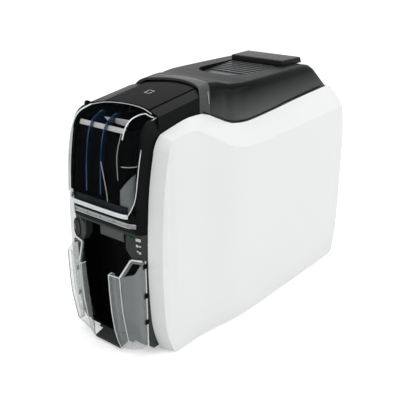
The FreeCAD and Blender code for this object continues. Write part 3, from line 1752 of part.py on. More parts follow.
def fan_rotor():
    y1 = rear_face_y() - moulding_wall - seat_gap
    y0 = y1 - fan_depth + moulding_wall / 2 + 2 * seat_gap
    z = at_z(fan_share)
    hub = y_cylinder(fan_hub, fan_x, y0, y1, z)
    reach = fan_bore - 2 * seat_gap
    for i in range(fan_blades):
        root = fan_x + fan_hub - 2 * seat_gap
        low = z - fan_blade_thickness / 2
        high = low + fan_blade_thickness
        blade = box(root, fan_x + reach, y0 + seat_gap, y0 + fan_blade_width, low, high)
        blade.rotate(V(fan_x, y0 + fan_blade_width / 2, z), X_AXIS, pressure_angle)
        blade.rotate(V(fan_x, 0, z), Y_AXIS, i * math.degrees(FULL_TURN) / fan_blades)
        hub = hub.fuse(blade)
    return hub.removeSplitter()


def main_board():
    x0 = frame_face + frame_thickness + board_gap
    x1 = x0 + board_thickness
    y0 = at_y(board_front_share)
    y1 = at_y(board_rear_share)
    z0 = at_z(board_bottom_share)
    z1 = at_z(board_top_share)
    board = box(x0, x1, y0, y1, z0, z1)
    plate_x = frame_face + frame_thickness
    for y in (y0 + board_post_inset, y1 - board_post_inset):
        for z in (z0 + board_post_inset, z1 - board_post_inset):
            board = board.fuse(x_cylinder(board_post_radius, plate_x, x0, y, z))
    for y_share, z_share in board_chip_shares:
        y = y0 + y_share * (y1 - y0)
        z = z0 + z_share * (z1 - z0)
        board = board.fuse(box(x1, x1 + board_chip_height, y, y + board_chip_size, z, z + board_chip_size))
    return board.removeSplitter()


def build():
    os.makedirs("parts", exist_ok=True)
    panel = side_panel()
    wing = output_wing()
    nodes = {
        "right_panel": panel,
        "left_panel": mirrored(panel),
        "base_tray": base_tray(),
        "rubber_feet": rubber_feet(),
        "left_frame": left_frame(),
        "right_frame": right_frame(),
        "hopper_housing": housing(),
        "roof_plate": roof_plate(),
        "exit_light_strip": exit_strip(),
        "input_cover": input_cover(),
        "cover_lip": cover_lip(),
        "cover_ribs": cover_ribs(),
        "lower_fascia": lower_fascia(),
        "throat_liner": throat_liner(),
        "output_floor": output_floor(),
        "right_output_wing": wing,
        "left_output_wing": mirrored(wing),
        "wing_clips": wing_clips(),
        "power_button": button_solid(0),
        "status_lights": light_lenses(0),
        "exit_flap": exit_flap(),
        "lid_shell": lid_shell(),
        "lid_collar": lid_collar(),
        "release_pad": release_pad(),
        "grip_block": grip_block(),
        "latch_bar": latch_bar(),
        "hinge_pins": hinge_pins(),
        "head_carrier": head_carrier(),
        "print_head": print_head(),
        "cleaning_roller": idler(clean_y, clean_z, feed_radius),
        "infeed_pinch_roller": idler(at_y(infeed_share), infeed_pinch_z, pinch_radius),
        "exit_pinch_roller": idler(at_y(exit_share), exit_pinch_z, pinch_radius),
        "feed_motor": feed_motor(),
        "motor_pulley": motor_pulley(),
        "drive_belt": drive_belt(),
        "card_hopper": card_hopper(),
        "card_weight": card_weight(),
        "supply_spool": spool(supply_y),
        "supply_ribbon": ribbon_roll(),
        "takeup_spool": takeup_spool(),
        "takeup_gear": takeup_gear(),
        "takeup_pinion": takeup_pinion(),
        "takeup_motor": takeup_motor(),
        "rear_cover": rear_cover(),
        "rear_screws": rear_screws(),
        "power_inlet": power_inlet(),
        "data_sockets": socket_bodies(),
        "fan_housing": fan_housing(),
        "fan_rotor": fan_rotor(),
        "main_board": main_board(),
    }
    for row in roller_rows:
        nodes[row[0] + "_roller"] = roller_rubber(row)
        nodes[row[0] + "_shaft"] = roller_shaft(row)
    for name, shape in nodes.items():
        save(name, shape)
    print(len(nodes), "nodes")


build()
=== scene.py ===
import bmesh
import bpy
import json
from math import cos, pi, radians, sin
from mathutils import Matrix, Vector

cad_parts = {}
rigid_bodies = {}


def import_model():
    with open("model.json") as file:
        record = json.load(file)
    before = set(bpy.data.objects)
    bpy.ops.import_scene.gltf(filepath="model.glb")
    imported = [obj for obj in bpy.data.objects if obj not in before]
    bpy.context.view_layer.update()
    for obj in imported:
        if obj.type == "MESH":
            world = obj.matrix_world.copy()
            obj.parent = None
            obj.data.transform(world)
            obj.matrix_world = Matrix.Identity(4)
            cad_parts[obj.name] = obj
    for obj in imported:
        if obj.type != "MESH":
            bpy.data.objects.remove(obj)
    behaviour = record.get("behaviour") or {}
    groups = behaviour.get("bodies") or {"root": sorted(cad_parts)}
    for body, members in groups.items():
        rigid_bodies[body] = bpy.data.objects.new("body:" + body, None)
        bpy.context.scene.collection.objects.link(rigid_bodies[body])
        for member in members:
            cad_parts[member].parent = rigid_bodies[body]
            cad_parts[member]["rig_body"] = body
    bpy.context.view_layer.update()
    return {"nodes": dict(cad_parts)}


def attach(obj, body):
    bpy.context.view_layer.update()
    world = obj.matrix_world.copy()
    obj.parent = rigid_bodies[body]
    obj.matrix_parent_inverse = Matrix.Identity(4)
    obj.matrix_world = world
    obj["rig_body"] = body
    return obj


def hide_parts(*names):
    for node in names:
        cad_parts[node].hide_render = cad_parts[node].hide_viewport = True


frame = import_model()
nodes = frame["nodes"]
mm = 0.001
sharpAngle = radians(32)  # sharper edges stay crisp, and take the soft bevel
print("frame loaded,", len(nodes), "nodes")


# finishes

def addNode(tree, kind, values=None, links=None):
    node = tree.nodes.new(kind)
    for socket, value in (values or {}).items():
        node.inputs[socket].default_value = value
    for socket, source in (links or {}).items():
        tree.links.new(source, node.inputs[socket])
    return node


def noiseTexture(tree, coords, scale, detail, roughness):
    values = {"Scale": scale, "Detail": detail, "Roughness": roughness}
    return addNode(tree, "ShaderNodeTexNoise", values, {"Vector": coords}).outputs["Fac"]


def mapRange(tree, value, source, target):
    values = dict(zip(("From Min", "From Max", "To Min", "To Max"), source + target))
    return addNode(tree, "ShaderNodeMapRange", values, {"Value": value}).outputs["Result"]


def paintedSideLight(tree, coords, colour, look):
    # painted light: paler towards the lower of two heights, in metres, as the lit lower sides of
    # the lid
    if "sideLightPaint" not in look:
        return colour
    low, high, pale = look["sideLightPaint"]
    split = addNode(tree, "ShaderNodeSeparateXYZ", links={"Vector": coords})
    mix = tree.nodes.new("ShaderNodeMix")
    mix.data_type = "RGBA"
    mix.inputs["A"].default_value = list(pale) + [1]
    tree.links.new(mapRange(tree, split.outputs["Z"], (low, high), (0, 1)), mix.inputs["Factor"])
    tree.links.new(colour, mix.inputs["B"])
    return mix.outputs["Result"]


noiseMiddle = (0.3, 0.7)  # where most of a noise's values lie
bumpDepth = 0.0003


def finish(name, look):
    # moulded or metal surface: fine grain, with slow changes of colour
    material = bpy.data.materials.new(name)
    material.use_nodes = True
    tree = material.node_tree
    shader = tree.nodes["Principled BSDF"]
    coords = addNode(tree, "ShaderNodeTexCoord").outputs["Object"]
    stretch = addNode(tree, "ShaderNodeMapping", {"Scale": look.get("stretch", (1, 1, 1))},
                      {"Vector": coords}).outputs["Vector"]
    slow = noiseTexture(tree, coords, look.get("patch", 14), detail=3, roughness=0.5)
    fine = noiseTexture(tree, stretch, look.get("grain", 1400), detail=4, roughness=0.6)
    ramp = addNode(tree, "ShaderNodeValToRGB", links={"Fac": slow})
    spread = look.get("spread", 0.04)
    stops = ramp.color_ramp.elements
    for stop, position, share in zip(stops, noiseMiddle, (1 - spread, 1 + spread)):
        stop.position = position
        stop.color = [min(1, channel * share) for channel in look["colour"]] + [1]
    rough, change = look["rough"], look.get("roughChange", 0.06)
    gloss = mapRange(tree, fine, noiseMiddle, (rough - change, rough + change))
    bump = addNode(tree, "ShaderNodeBump", {"Strength": look.get("bump", 0.06),
                                            "Distance": bumpDepth}, {"Height": fine})
    tree.links.new(paintedSideLight(tree, coords, ramp.outputs["Color"], look), shader.inputs["Base Color"])
    tree.links.new(gloss, shader.inputs["Roughness"])
    tree.links.new(bump.outputs["Normal"], shader.inputs["Normal"])
    shader.inputs["Metallic"].default_value = look.get("metal", 0)
    shader.inputs["Specular IOR Level"].default_value = look.get("specular", 0.5)
    shader.inputs["IOR"].default_value = look.get("ior", 1.5)
    shader.inputs["Alpha"].default_value = look.get("alpha", 1)
    return material


# a low ior keeps dark plastic dark where it is seen at a flat angle
finishLooks = {
    "whitePanel": {"colour": (0.745, 0.75, 0.752), "rough": 0.40, "spread": 0.010,
                   "bump": 0.02, "grain": 2200, "patch": 9, "specular": 0.25},
    "charcoal": {"colour": (0.013, 0.014, 0.014), "rough": 0.34, "spread": 0.12,
                 "grain": 1500, "ior": 1.20},
    # the lid's lower sides are painted paler, as painted light
    "lidGrey": {"colour": (0.005, 0.0055, 0.0055), "rough": 0.34, "spread": 0.12,
                "grain": 1500, "ior": 1.14, "sideLightPaint": (0.226, 0.256, (0.085, 0.090, 0.088))},
    "housingGrey": {"colour": (0.0055, 0.006, 0.006), "rough": 0.28, "spread": 0.12,
                    "bump": 0.05, "grain": 1500, "ior": 1.12},
    "fasciaGrey": {"colour": (0.034, 0.038, 0.036), "rough": 0.40, "spread": 0.12,
                   "bump": 0.08, "grain": 1500, "specular": 0.12},
    "collarGrey": {"colour": (0.050, 0.052, 0.053), "rough": 0.36, "spread": 0.08,
                   "bump": 0.08, "grain": 1500, "specular": 0.2},
    "padGrey": {"colour": (0.045, 0.048, 0.050), "rough": 0.26, "spread": 0.08,
                "bump": 0.05, "grain": 1500, "specular": 0.4},
    "glossBlack": {"colour": (0.0016, 0.0016, 0.0017), "rough": 0.12, "roughChange": 0.03,
                   "spread": 0.2, "bump": 0.0, "ior": 1.07},
    "maskBlack": {"colour": (0.004, 0.004, 0.0042), "rough": 1.0, "roughChange": 0.0,
                  "spread": 0.3, "bump": 0.0, "specular": 0.0},
    "lipBlue": {"colour": (0.016, 0.024, 0.030), "rough": 0.20, "spread": 0.4,
                "bump": 0.0, "patch": 60, "ior": 1.2},
    "trayGrey": {"colour": (0.040, 0.043, 0.043), "rough": 0.45, "spread": 0.10,
                 "specular": 0.2},
    "innerBlack": {"colour": (0.0018, 0.0018, 0.002), "rough": 0.60, "spread": 0.15,
                   "bump": 0.10, "specular": 0.04},
    "flapGrey": {"colour": (0.035, 0.037, 0.040), "rough": 0.35, "spread": 0.10, "bump": 0.05},
    # pale grey for the painted reflections and highlights on the clear cover
    "paintedReflectionGrey": {"colour": (0.90, 0.93, 0.91), "rough": 0.30, "bump": 0.02, "grain": 900},
    "cheekGrey": {"colour": (0.24, 0.27, 0.27), "rough": 0.25, "spread": 0.10,
                  "bump": 0.02, "patch": 30},
    "lampGreen": {"colour": (0.010, 0.10, 0.025), "rough": 0.30, "spread": 0.25, "patch": 400},
    # pale print, also the painted highlight on the collar's rear edge
    "paleIconAndHighlight": {"colour": (0.50, 0.53, 0.52), "rough": 0.35, "spread": 0.06, "patch": 300},
    "rubber": {"colour": (0.018, 0.018, 0.018), "rough": 0.72, "spread": 0.15,
               "bump": 0.20, "grain": 900},
    "cleaningRubber": {"colour": (0.30, 0.36, 0.44), "rough": 0.45, "spread": 0.06, "bump": 0.08},
    "sheetSteel": {"colour": (0.42, 0.43, 0.44), "rough": 0.38, "metal": 1, "spread": 0.08,
                   "bump": 0.05, "stretch": (1, 0.04, 1)},
    "shaftSteel": {"colour": (0.55, 0.56, 0.57), "rough": 0.24, "metal": 1, "spread": 0.05,
                   "bump": 0.03, "stretch": (0.05, 1, 1)},
    "aluminium": {"colour": (0.62, 0.63, 0.64), "rough": 0.34, "metal": 1, "spread": 0.05,
                  "bump": 0.04, "stretch": (0.05, 1, 1)},
    "nylon": {"colour": (0.66, 0.64, 0.58), "rough": 0.48, "bump": 0.05},
    "ribbonFilm": {"colour": (0.16, 0.03, 0.12), "rough": 0.20, "spread": 0.15,
                   "bump": 0.05, "stretch": (6, 0.2, 0.2)},
    "boardGreen": {"colour": (0.010, 0.10, 0.04), "rough": 0.35, "spread": 0.2, "patch": 60},
    "socketMetal": {"colour": (0.62, 0.62, 0.62), "rough": 0.28, "metal": 1, "spread": 0.05},
    "smokyClear": {"colour": (0.008, 0.010, 0.011), "rough": 0.08, "roughChange": 0.02,
                   "spread": 0.05, "bump": 0.0, "alpha": 0.16, "specular": 0.0},
    "clearPane": {"colour": (0.46, 0.50, 0.50), "rough": 0.08, "roughChange": 0.02,
                  "spread": 0.05, "bump": 0.01, "alpha": 0.25},
    # pale beads painted as the highlights along clear edges
    "paintedEdgeHighlight": {"colour": (0.74, 0.77, 0.77), "rough": 0.12, "spread": 0.10,
                  "bump": 0.02, "patch": 60},
    # the pale light strip, also the painted highlight along the roof's chamfer edge
    "paleStripAndHighlight": {"colour": (0.26, 0.28, 0.28), "rough": 0.18, "spread": 0.12,
                  "bump": 0.02, "patch": 80},
    "blueEdge": {"colour": (0.050, 0.130, 0.290), "rough": 0.15, "spread": 0.2,
                 "bump": 0.0, "patch": 60},
    "shadeLine": {"colour": (0.004, 0.0045, 0.005), "rough": 0.6, "spread": 0.2,
                  "bump": 0.02, "specular": 0.0},
    "blueGuide": {"colour": (0.008, 0.030, 0.085), "rough": 0.12, "roughChange": 0.03,
                  "spread": 0.2, "bump": 0.0, "alpha": 0.55, "patch": 40, "specular": 0.2},
}
finishes = {name: finish(name, look) for name, look in finishLooks.items()}
print("finishes made")


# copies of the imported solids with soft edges, which take the solids' place

def addPiece(name, bm, finishName, body, replaced=()):
    mesh = bpy.data.meshes.new(name)
    bm.to_mesh(mesh)
    bm.free()
    piece = bpy.data.objects.new(name, mesh)
    bpy.context.scene.collection.objects.link(piece)
    mesh.materials.append(finishes[finishName])
    for face in mesh.polygons:
        face.use_smooth = True
    mesh.set_sharp_from_angle(angle=sharpAngle)
    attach(piece, body)
    if replaced:
        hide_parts(*replaced)
    return piece


def softenEdges(piece, width):
    bevel = piece.modifiers.new("softEdges", "BEVEL")
    bevel.width = width * mm
    bevel.segments = 2
    bevel.limit_method = "ANGLE"
    bevel.angle_limit = sharpAngle
    bevel.use_clamp_overlap = True
    bevel.harden_normals = True


weld = {"distance": 0.00001, "flatAngle": radians(0.4)}


def weldedCopy(nodeName):
    bm = bmesh.new()
    bm.from_mesh(nodes[nodeName].data)
    bmesh.ops.remove_doubles(bm, verts=bm.verts, dist=weld["distance"])
    bmesh.ops.dissolve_limit(bm, angle_limit=weld["flatAngle"], verts=bm.verts, edges=bm.edges)
    return bm


dressed = {
    "right_panel": {"finish": "whitePanel", "slot": "white_panel", "softEdge": 1.2},
    "left_panel": {"finish": "whitePanel", "slot": "white_panel", "softEdge": 1.2},
    "hopper_housing": {"finish": "housingGrey", "slot": "charcoal_plastic", "softEdge": 0.5},
    "lower_fascia": {"finish": "fasciaGrey", "slot": "charcoal_plastic", "softEdge": 0.5},
    "lid_shell": {"finish": "lidGrey", "slot": "charcoal_plastic", "softEdge": 0.8},
    "lid_collar": {"finish": "collarGrey", "slot": "collar_plastic", "softEdge": 0.5},
    "release_pad": {"finish": "padGrey", "slot": "pad_plastic", "softEdge": 0.5},
    "grip_block": {"finish": "charcoal", "slot": "charcoal_plastic", "softEdge": 0.6},
    "rear_cover": {"finish": "charcoal", "slot": "charcoal_plastic", "softEdge": 0.5},
    "power_button": {"finish": "fasciaGrey", "slot": "charcoal_plastic", "softEdge": 0.5},
}
for nodeName, look in dressed.items():
    shell = addPiece(nodeName + "_shell", weldedCopy(nodeName), look["finish"],
                     nodes[nodeName]["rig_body"], (nodeName,))
    softenEdges(shell, look["softEdge"])
print("casings dressed")

# solids that stay as they are, by finish
plainNodes = {
    "innerBlack": ["base_tray", "throat_liner", "output_floor", "wing_clips", "head_carrier",
                   "card_hopper", "card_weight", "power_inlet", "fan_housing", "fan_rotor"],
    "rubber": ["rubber_feet", "pick_roller", "infeed_roller", "platen_roller", "exit_roller",
               "drive_belt"],
    "flapGrey": ["exit_flap"],
    "sheetSteel": ["left_frame", "right_frame", "latch_bar"],
    "shaftSteel": ["hinge_pins", "rear_screws", "pick_shaft", "infeed_shaft", "platen_shaft",
                   "exit_shaft", "infeed_pinch_roller", "exit_pinch_roller", "feed_motor",
                   "takeup_motor"],
    "aluminium": ["print_head"],
    "nylon": ["motor_pulley", "supply_spool", "takeup_spool", "takeup_gear", "takeup_pinion"],
    "ribbonFilm": ["supply_ribbon"],
    "cleaningRubber": ["cleaning_roller"],
    "boardGreen": ["main_board"],
    "socketMetal": ["data_sockets"],
    "glossBlack": ["roof_plate"],
    "smokyClear": ["input_cover"],
    "lipBlue": ["cover_lip"],
    "paleStripAndHighlight": ["exit_light_strip"],
    "blueGuide": ["cover_ribs"],
}
for finishName, members in plainNodes.items():
    for member in members:
        data = nodes[member].data
        data.materials.clear()
        data.materials.append(finishes[finishName])
print("inner pieces finished")


# building helpers, all in millimetres

def inMetres(point):
    return Vector(point) * mm


def shifted(points, x=0, y=0, z=0, spread=1):
    # the same line moved, and made wider or narrower about the middle
    return [(px * spread + x, py + y, pz + z) for px, py, pz in points]


def tubeMesh(points, radius, order, closed):
    curve = bpy.data.curves.new("path", "CURVE")
    curve.dimensions = "3D"
    curve.bevel_depth = radius * mm
    curve.bevel_resolution = 2
    curve.resolution_u = 6
    curve.use_fill_caps = True
    spline = curve.splines.new("NURBS")
    spline.points.add(len(points) - 1)
    for spot, point in zip(spline.points, points):
        spot.co = list(inMetres(point)) + [1]
    spline.order_u = order  # 2 gives straight runs, 3 a smooth line
    spline.use_endpoint_u = not closed
    spline.use_cyclic_u = closed
    holder = bpy.data.objects.new("path", curve)
    mesh = bpy.data.meshes.new_from_object(holder)
    bpy.data.objects.remove(holder)
    return mesh


def addBeads(name, look):
    # thin round lines: by default painted highlights along edges, also painted shade along edges
    # and seams, and print
    bm = bmesh.new()
    order, closed = look.get("order", 3), look.get("closed", False)
    for points in look["lines"]:
        bm.from_mesh(tubeMesh(points, look["radius"], order, closed))
    addPiece(name, bm, look.get("finish", "paintedEdgeHighlight"), look.get("body", "printer_body"))


def edgeChain(bm, points):
    chain = [bm.verts.new(inMetres(point)) for point in points]
    return [bm.edges.new(pair) for pair in zip(chain, chain[1:])]


def drawOut(bm, extruded, vector):
    # moves what an extrusion has made, and hands on its edges
    made = extruded["geom"]
    moved = [item for item in made if isinstance(item, bmesh.types.BMVert)]
    bmesh.ops.translate(bm, verts=moved, vec=inMetres(vector))
    return [item for item in made if isinstance(item, bmesh.types.BMEdge)]


def sweptSheet(profile, across, wall):
    # side-view line drawn out across the object, then given a wall
    bm = bmesh.new()
    start, end = across
    edges = edgeChain(bm, [(start, y, z) for y, z in profile])
    drawOut(bm, bmesh.ops.extrude_edge_only(bm, edges=edges), (end - start, 0, 0))
    bmesh.ops.recalc_face_normals(bm, faces=bm.faces)
    bmesh.ops.solidify(bm, geom=bm.faces[:], thickness=wall * mm)
    return bm


def flatPlate(corners, depth):
    # outline in space given a thickness along one direction
    bm = bmesh.new()
    face = bm.faces.new([bm.verts.new(inMetres(corner)) for corner in corners])
    drawOut(bm, bmesh.ops.extrude_face_region(bm, geom=[face]), depth)
    bmesh.ops.recalc_face_normals(bm, faces=bm.faces)
    return bm


def joined(parts):
    bm = bmesh.new()
    for part in parts:
        mesh = bpy.data.meshes.new("part")
        part.to_mesh(mesh)
        part.free()
        bm.from_mesh(mesh)
    return bm


def cutAway(bm, point, outward):
    everything = bm.verts[:] + bm.edges[:] + bm.faces[:]
    bmesh.ops.bisect_plane(bm, geom=everything, dist=0.000001, plane_co=inMetres(point),
                           plane_no=Vector(outward), clear_outer=True)


# what is seen through the smoky cover, and pale sheets inside it that paint the reflections on
# its front, with profiles as y and z

coverInside = {
    "across": (-38.0, 25.0), "wall": 1.0, "softEdge": 0.3,
    "maskProfile": [(-174.4, 167.6), (-172.2, 180.0), (-170.2, 190.0), (-166.3, 211.0),
                    (-160.8, 232.0), (-160.2, 234.3)],
    "bandProfile": [(-160.9, 234.5), (-159.8, 237.2), (-158.6, 239.0)],
    "wedge": [(-13.5, -150, 243.0), (20.5, -150, 244.9), (17.6, -150, 237.9),
              (-9.5, -150, 239.9)],
    "finProfile": [(-158.6, 240.8), (-150.0, 247.3), (-146.5, 248.6), (-144.6, 248.6),
                   (-139.8, 238.2), (-158.0, 236.0)],
    "finPlaces": [-18.5, 1.3],
}


def makeCoverInside(look):
    wall = look["wall"]
    mask = sweptSheet(look["maskProfile"], look["across"], wall)
    addPiece("cover_mask", mask, "maskBlack", "input_cover")
    # the pale band and wedge are painted reflections on the cover's front
    pale = {"cover_reflection_band": sweptSheet(look["bandProfile"], look["across"], wall),
            "cover_reflection_wedge": flatPlate(look["wedge"], (0, wall, 0))}
    for name, bm in pale.items():
        piece = addPiece(name, bm, "paintedReflectionGrey", "input_cover")
        softenEdges(piece, look["softEdge"])
    fins = [flatPlate([(place - wall / 2, y, z) for y, z in look["finProfile"]], (wall, 0, 0))
            for place in look["finPlaces"]]
    addPiece("guide_fins", joined(fins), "blueGuide", "input_cover")


makeCoverInside(coverInside)

# the cover's right corner: pale below a sloping line, dark above it
cornerGuard = {
    "plan": [(25.6, -172.6), (31.0, -173.1), (35.0, -172.9), (38.6, -171.5),
             (41.3, -169.0), (42.8, -165.6)],
    "levels": [(0, 161.0), (1.2, 180.0), (2.6, 198.0), (4.8, 215.0), (8.0, 231.0),
               (11.8, 239.0)],  # how far back, and how high
    "wall": 0.8,
    "lineStart": (25.6, -174, 181.3), "lineRise": 1.16, "lineGap": 0.6,
    "footCut": (38.4, -174, 160.0), "footRise": 3.1,
}


def guardSheet(look, cuts):
    # follows the cover's rounding, grown upward level by level, then cut to shape
    bm = bmesh.new()
    edges = edgeChain(bm, [(x, y, look["levels"][0][1]) for x, y in look["plan"]])
    for (back, height), (nextBack, nextHeight) in zip(look["levels"], look["levels"][1:]):
        extruded = bmesh.ops.extrude_edge_only(bm, edges=edges)
        edges = drawOut(bm, extruded, (0, nextBack - back, nextHeight - height))
    bmesh.ops.recalc_face_normals(bm, faces=bm.faces)
    for point, outward in cuts:
        cutAway(bm, point, outward)
    bmesh.ops.solidify(bm, geom=bm.faces[:], thickness=look["wall"] * mm)
    return bm


def makeCornerGuard(look):
    x, y, z = look["lineStart"]
    rise = look["lineRise"]
    cheek = guardSheet(look, [((x, y, z), (-rise, 0, 1)),
                              (look["footCut"], (look["footRise"], 0, -1))])
    addPiece("corner_cheek", cheek, "cheekGrey", "input_cover")
    window = guardSheet(look, [((x, y, z + look["lineGap"]), (rise, 0, -1))])
    addPiece("corner_window", window, "maskBlack", "input_cover")


makeCornerGuard(cornerGuard)

leftEdge = [(-36.0, -146.0, 251.3), (-36.5, -155.7, 249.6), (-37.5, -161.4, 246.6),
            (-38.5, -165.3, 242.3), (-39.5, -168.6, 235.0), (-41.5, -171.6, 220.0),
            (-43.0, -173.0, 206.0), (-45.0, -173.6, 186.0), (-45.8, -174.4, 166.0)]
ridge = [(-18.5, -148.0, 248.4), (-18.5, -159.2, 243.6), (-18.5, -164.4, 237.6),
         (-18.5, -167.4, 230.0), (-18.5, -169.7, 220.0), (-18.5, -172.6, 200.0),
         (-18.5, -174.1, 180.0), (-18.5, -174.5, 172.0)]
footRim = [(-46.2, -170.0, 160.0), (-44.5, -173.6, 158.4), (-41.0, -176.6, 157.6),
           (-36.0, -178.0, 157.4), (0.0, -178.2, 157.4), (36.0, -178.0, 157.4),
           (39.8, -177.3, 158.6)]
# pale beads are painted highlights on the cover's clear edges; cover_outline is a painted shade
# line beside the left edge
coverEdges = {
    "cover_edge_left": {"radius": 0.75, "lines": [leftEdge]},
    "cover_edge_right": {"radius": 0.4, "lines": [
        [(46.9, -155.0, 242.4), (46.9, -162.2, 225.0), (46.9, -166.0, 210.0),
         (46.6, -168.2, 197.1), (46.1, -169.6, 186.2), (45.4, -171.1, 176.4),
         (43.5, -173.9, 167.9), (39.8, -177.3, 159.6)],
        [(46.8, -138.8, 250.6), (46.9, -146.0, 248.8), (46.9, -151.5, 246.2),
         (46.9, -155.0, 242.4)]]},
    "cover_edge_arch": {"radius": 0.6, "lines": [
        [(30.6, -170.2, 232.4), (30.4, -167.0, 240.0), (30.4, -163.2, 245.2),
         (30.2, -156.8, 249.2), (30.8, -150.7, 250.8), (31.2, -144.4, 251.5),
         (34.0, -141.0, 251.8)],
        [(34.0, -141.0, 251.8), (41.0, -144.0, 251.0), (46.6, -144.0, 250.8)]]},
    "cover_edge_rear": {"radius": 0.35, "lines": [
        [(-36.0, -146.0, 251.3), (-31.0, -134.6, 252.2), (-22.0, -130.9, 252.7),
         (-11.0, -128.6, 253.0), (0.0, -127.9, 253.1), (11.0, -128.6, 253.0),
         (22.0, -130.9, 252.7), (31.0, -134.6, 252.2), (38.0, -137.4, 251.4)]]},
    "cover_edge_foot": {"radius": 1.15, "lines": [
        footRim, shifted(footRim, y=0.1, z=2.1, spread=0.995)]},
    "cover_outline": {"radius": 0.3, "finish": "shadeLine", "slot": "clear_smoke",
                      "lines": [shifted(leftEdge, x=-0.9, y=0.9)]},
    "cover_guide_ridges": {"radius": 0.45, "finish": "blueEdge", "slot": "blue_guide",
                           "lines": [ridge, shifted(ridge, x=19.8)]},
    # pale hairlines painted as highlights inside the clear cover
    "cover_thin_guides": {"radius": 0.28, "finish": "paintedReflectionGrey", "lines": [
        [(23.0, -163.5, 235.6), (23.0, -168.8, 223.8), (23.0, -171.3, 212.3),
         (23.0, -171.1, 197.1), (23.0, -170.9, 191.0)],
        [(2.4, -172.4, 206.0), (5.6, -173.4, 194.4), (8.9, -174.3, 182.7),
         (11.2, -174.8, 173.1), (11.2, -175.0, 168.0)],
        [(30.5, -173.0, 206.9), (36.0, -172.6, 207.2), (41.0, -170.0, 207.6),
         (44.3, -165.6, 208.0)]]},
}
for name, look in coverEdges.items():
    addBeads(name, dict(look, body="input_cover"))
print("cover dressed")


# clear output wings with pale beads painted as the highlights on their edges and dark painted
# shade lines, given for the right one

wingFoot = {"cut": (31.0, -171, 4.6), "slope": 0.46}
wingEdges = {
    "front_edge_highlights": {"radius": 0.42, "order": 2, "lines": [
        [(20, -187.6, 95.8), (20, -187.3, 75.3), (20, -185.9, 51.1), (20, -183.1, 29.6),
         (20, -179.8, 16.1), (20, -175.6, 4.6)],
        [(29.5, -181.7, 92.5), (29.5, -181.3, 75.3), (29.5, -179.5, 51.1),
         (29.5, -176.2, 29.6), (29.5, -173.6, 16.1), (31.5, -170.9, 4.6)],
        [(19.2, -181.9, 95.8), (20, -187.6, 95.8), (29.5, -181.7, 92.5)],
        [(20, -175.6, 4.6), (31.5, -170.9, 4.9), (48.8, -171.6, 12.8),
         (49.3, -164.6, 13.0)]]},
    "rear_edge_highlight": {"radius": 0.6, "order": 2, "lines": [
        [(49.3, -164.6, 111.2), (49.3, -164.6, 13.0)]]},
    "rail_highlight": {"radius": 0.9, "order": 2, "lines": [
        [(29.5, -181.4, 93.4), (35.4, -170.9, 110.2), (48.4, -168.9, 112.0)]]},
    "shade_lines": {"radius": 0.35, "order": 2, "finish": "shadeLine", "lines": [
        [(19.2, -181.9, 95.8), (19.2, -180.6, 75.3), (19.2, -178.4, 51.1),
         (19.2, -177.1, 29.6), (19.2, -176.2, 16.1), (20, -175.6, 4.6)]]},
}
leftWingShade = [(48.8, -179.6, 100.9), (48.8, -179.5, 75.3), (48.8, -178.5, 51.1),
                 (48.8, -175.1, 29.6), (48.8, -172.9, 16.1), (48.8, -171.8, 12.8)]


def makeWing(name, side):
    # the clear shell with its outer foot corner taken away, then its edges
    shell = weldedCopy(name + "_output_wing")
    x, y, z = wingFoot["cut"]
    cutAway(shell, (side * x, y, z), (side * wingFoot["slope"], 0, -1))
    bmesh.ops.holes_fill(shell, edges=[edge for edge in shell.edges if edge.is_boundary])
    bmesh.ops.recalc_face_normals(shell, faces=shell.faces)
    addPiece(name + "_wing_shell", shell, "clearPane", "printer_body",
             (name + "_output_wing",))
    for part, look in wingEdges.items():
        lines = list(look["lines"])
        if name == "left" and part == "shade_lines":
            lines.append(leftWingShade)
        mirrored = [shifted(points, spread=side) for points in lines]
        addBeads(name + "_wing_" + part, dict(look, lines=mirrored))


for name, side in (("right", 1), ("left", -1)):
    makeWing(name, side)

# dark tongue of the floor, seen between the wings
outputTongue = {
    "corners": [(-19, -176, 3.0), (19, -176, 3.0), (19, -163.2, 6.4), (26, -163.2, 6.4),
                (26, -161, 7.0), (-26, -161, 7.0), (-26, -163.2, 6.4), (-19, -163.2, 6.4)],
    "depth": (0, 0, 2.2), "softEdge": 0.5,
}
tongue = flatPlate(outputTongue["corners"], outputTongue["depth"])
tonguePiece = addPiece("output_tongue", tongue, "trayGrey", "printer_body")
softenEdges(tonguePiece, outputTongue["softEdge"])
print("wings edged")


# lamps and plain signs on the pads, each as x, z, width and height

padMarks = {
    "lamps": [(-36.5, 134.4, 2.6, 1.5), (-32.6, 133.6, 2.0, 1.5), (33.4, 134.6, 2.6, 1.5),
              (37.0, 133.8, 2.2, 1.5)],
    "signs": [(44.1, 133.4, 5.4, 3.0), (42.7, 127.0, 2.4, 2.4), (45.7, 127.0, 2.2, 1.6),
              (43.1, 121.1, 1.6, 1.6), (45.5, 119.9, 2.2, 2.4)],
    "padEdge": (47.4, -167.3), "padSlope": 0.209, "proud": 0.5, "thickness": 0.6,
}


def markPlate(look, x, z, width, height):
    # lies on the pad's slanted face, just proud of it
    edgeX, edgeY = look["padEdge"]
    corners = []
    for across, up in ((-1, -1), (1, -1), (1, 1), (-1, 1)):
        cornerX = x + across * width / 2
        cornerY = edgeY + (abs(cornerX) - edgeX) * look["padSlope"] - look["proud"]
        corners.append((cornerX, cornerY, z + up * height / 2))
    return flatPlate(corners, (0, look["thickness"], 0))


for name, kind, finishName in (("status_lamps", "lamps", "lampGreen"),
                               ("status_icons", "signs", "paleIconAndHighlight")):
    plates = [markPlate(padMarks, *mark) for mark in padMarks[kind]]
    addPiece(name, joined(plates), finishName, "printer_body", ("status_lights",))

# lines on the light strip, the lid, the power button and the roof

buttonOval = {"centre": (-44.3, -168.7, 122.9), "halfWidth": 4.9, "halfHeight": 10.9,
              "points": 12}


def ovalLine(look):
    x, y, z = look["centre"]
    angles = [step * 2 * pi / look["points"] for step in range(look["points"])]
    return [(x + look["halfWidth"] * cos(angle), y, z + look["halfHeight"] * sin(angle))
            for angle in angles]


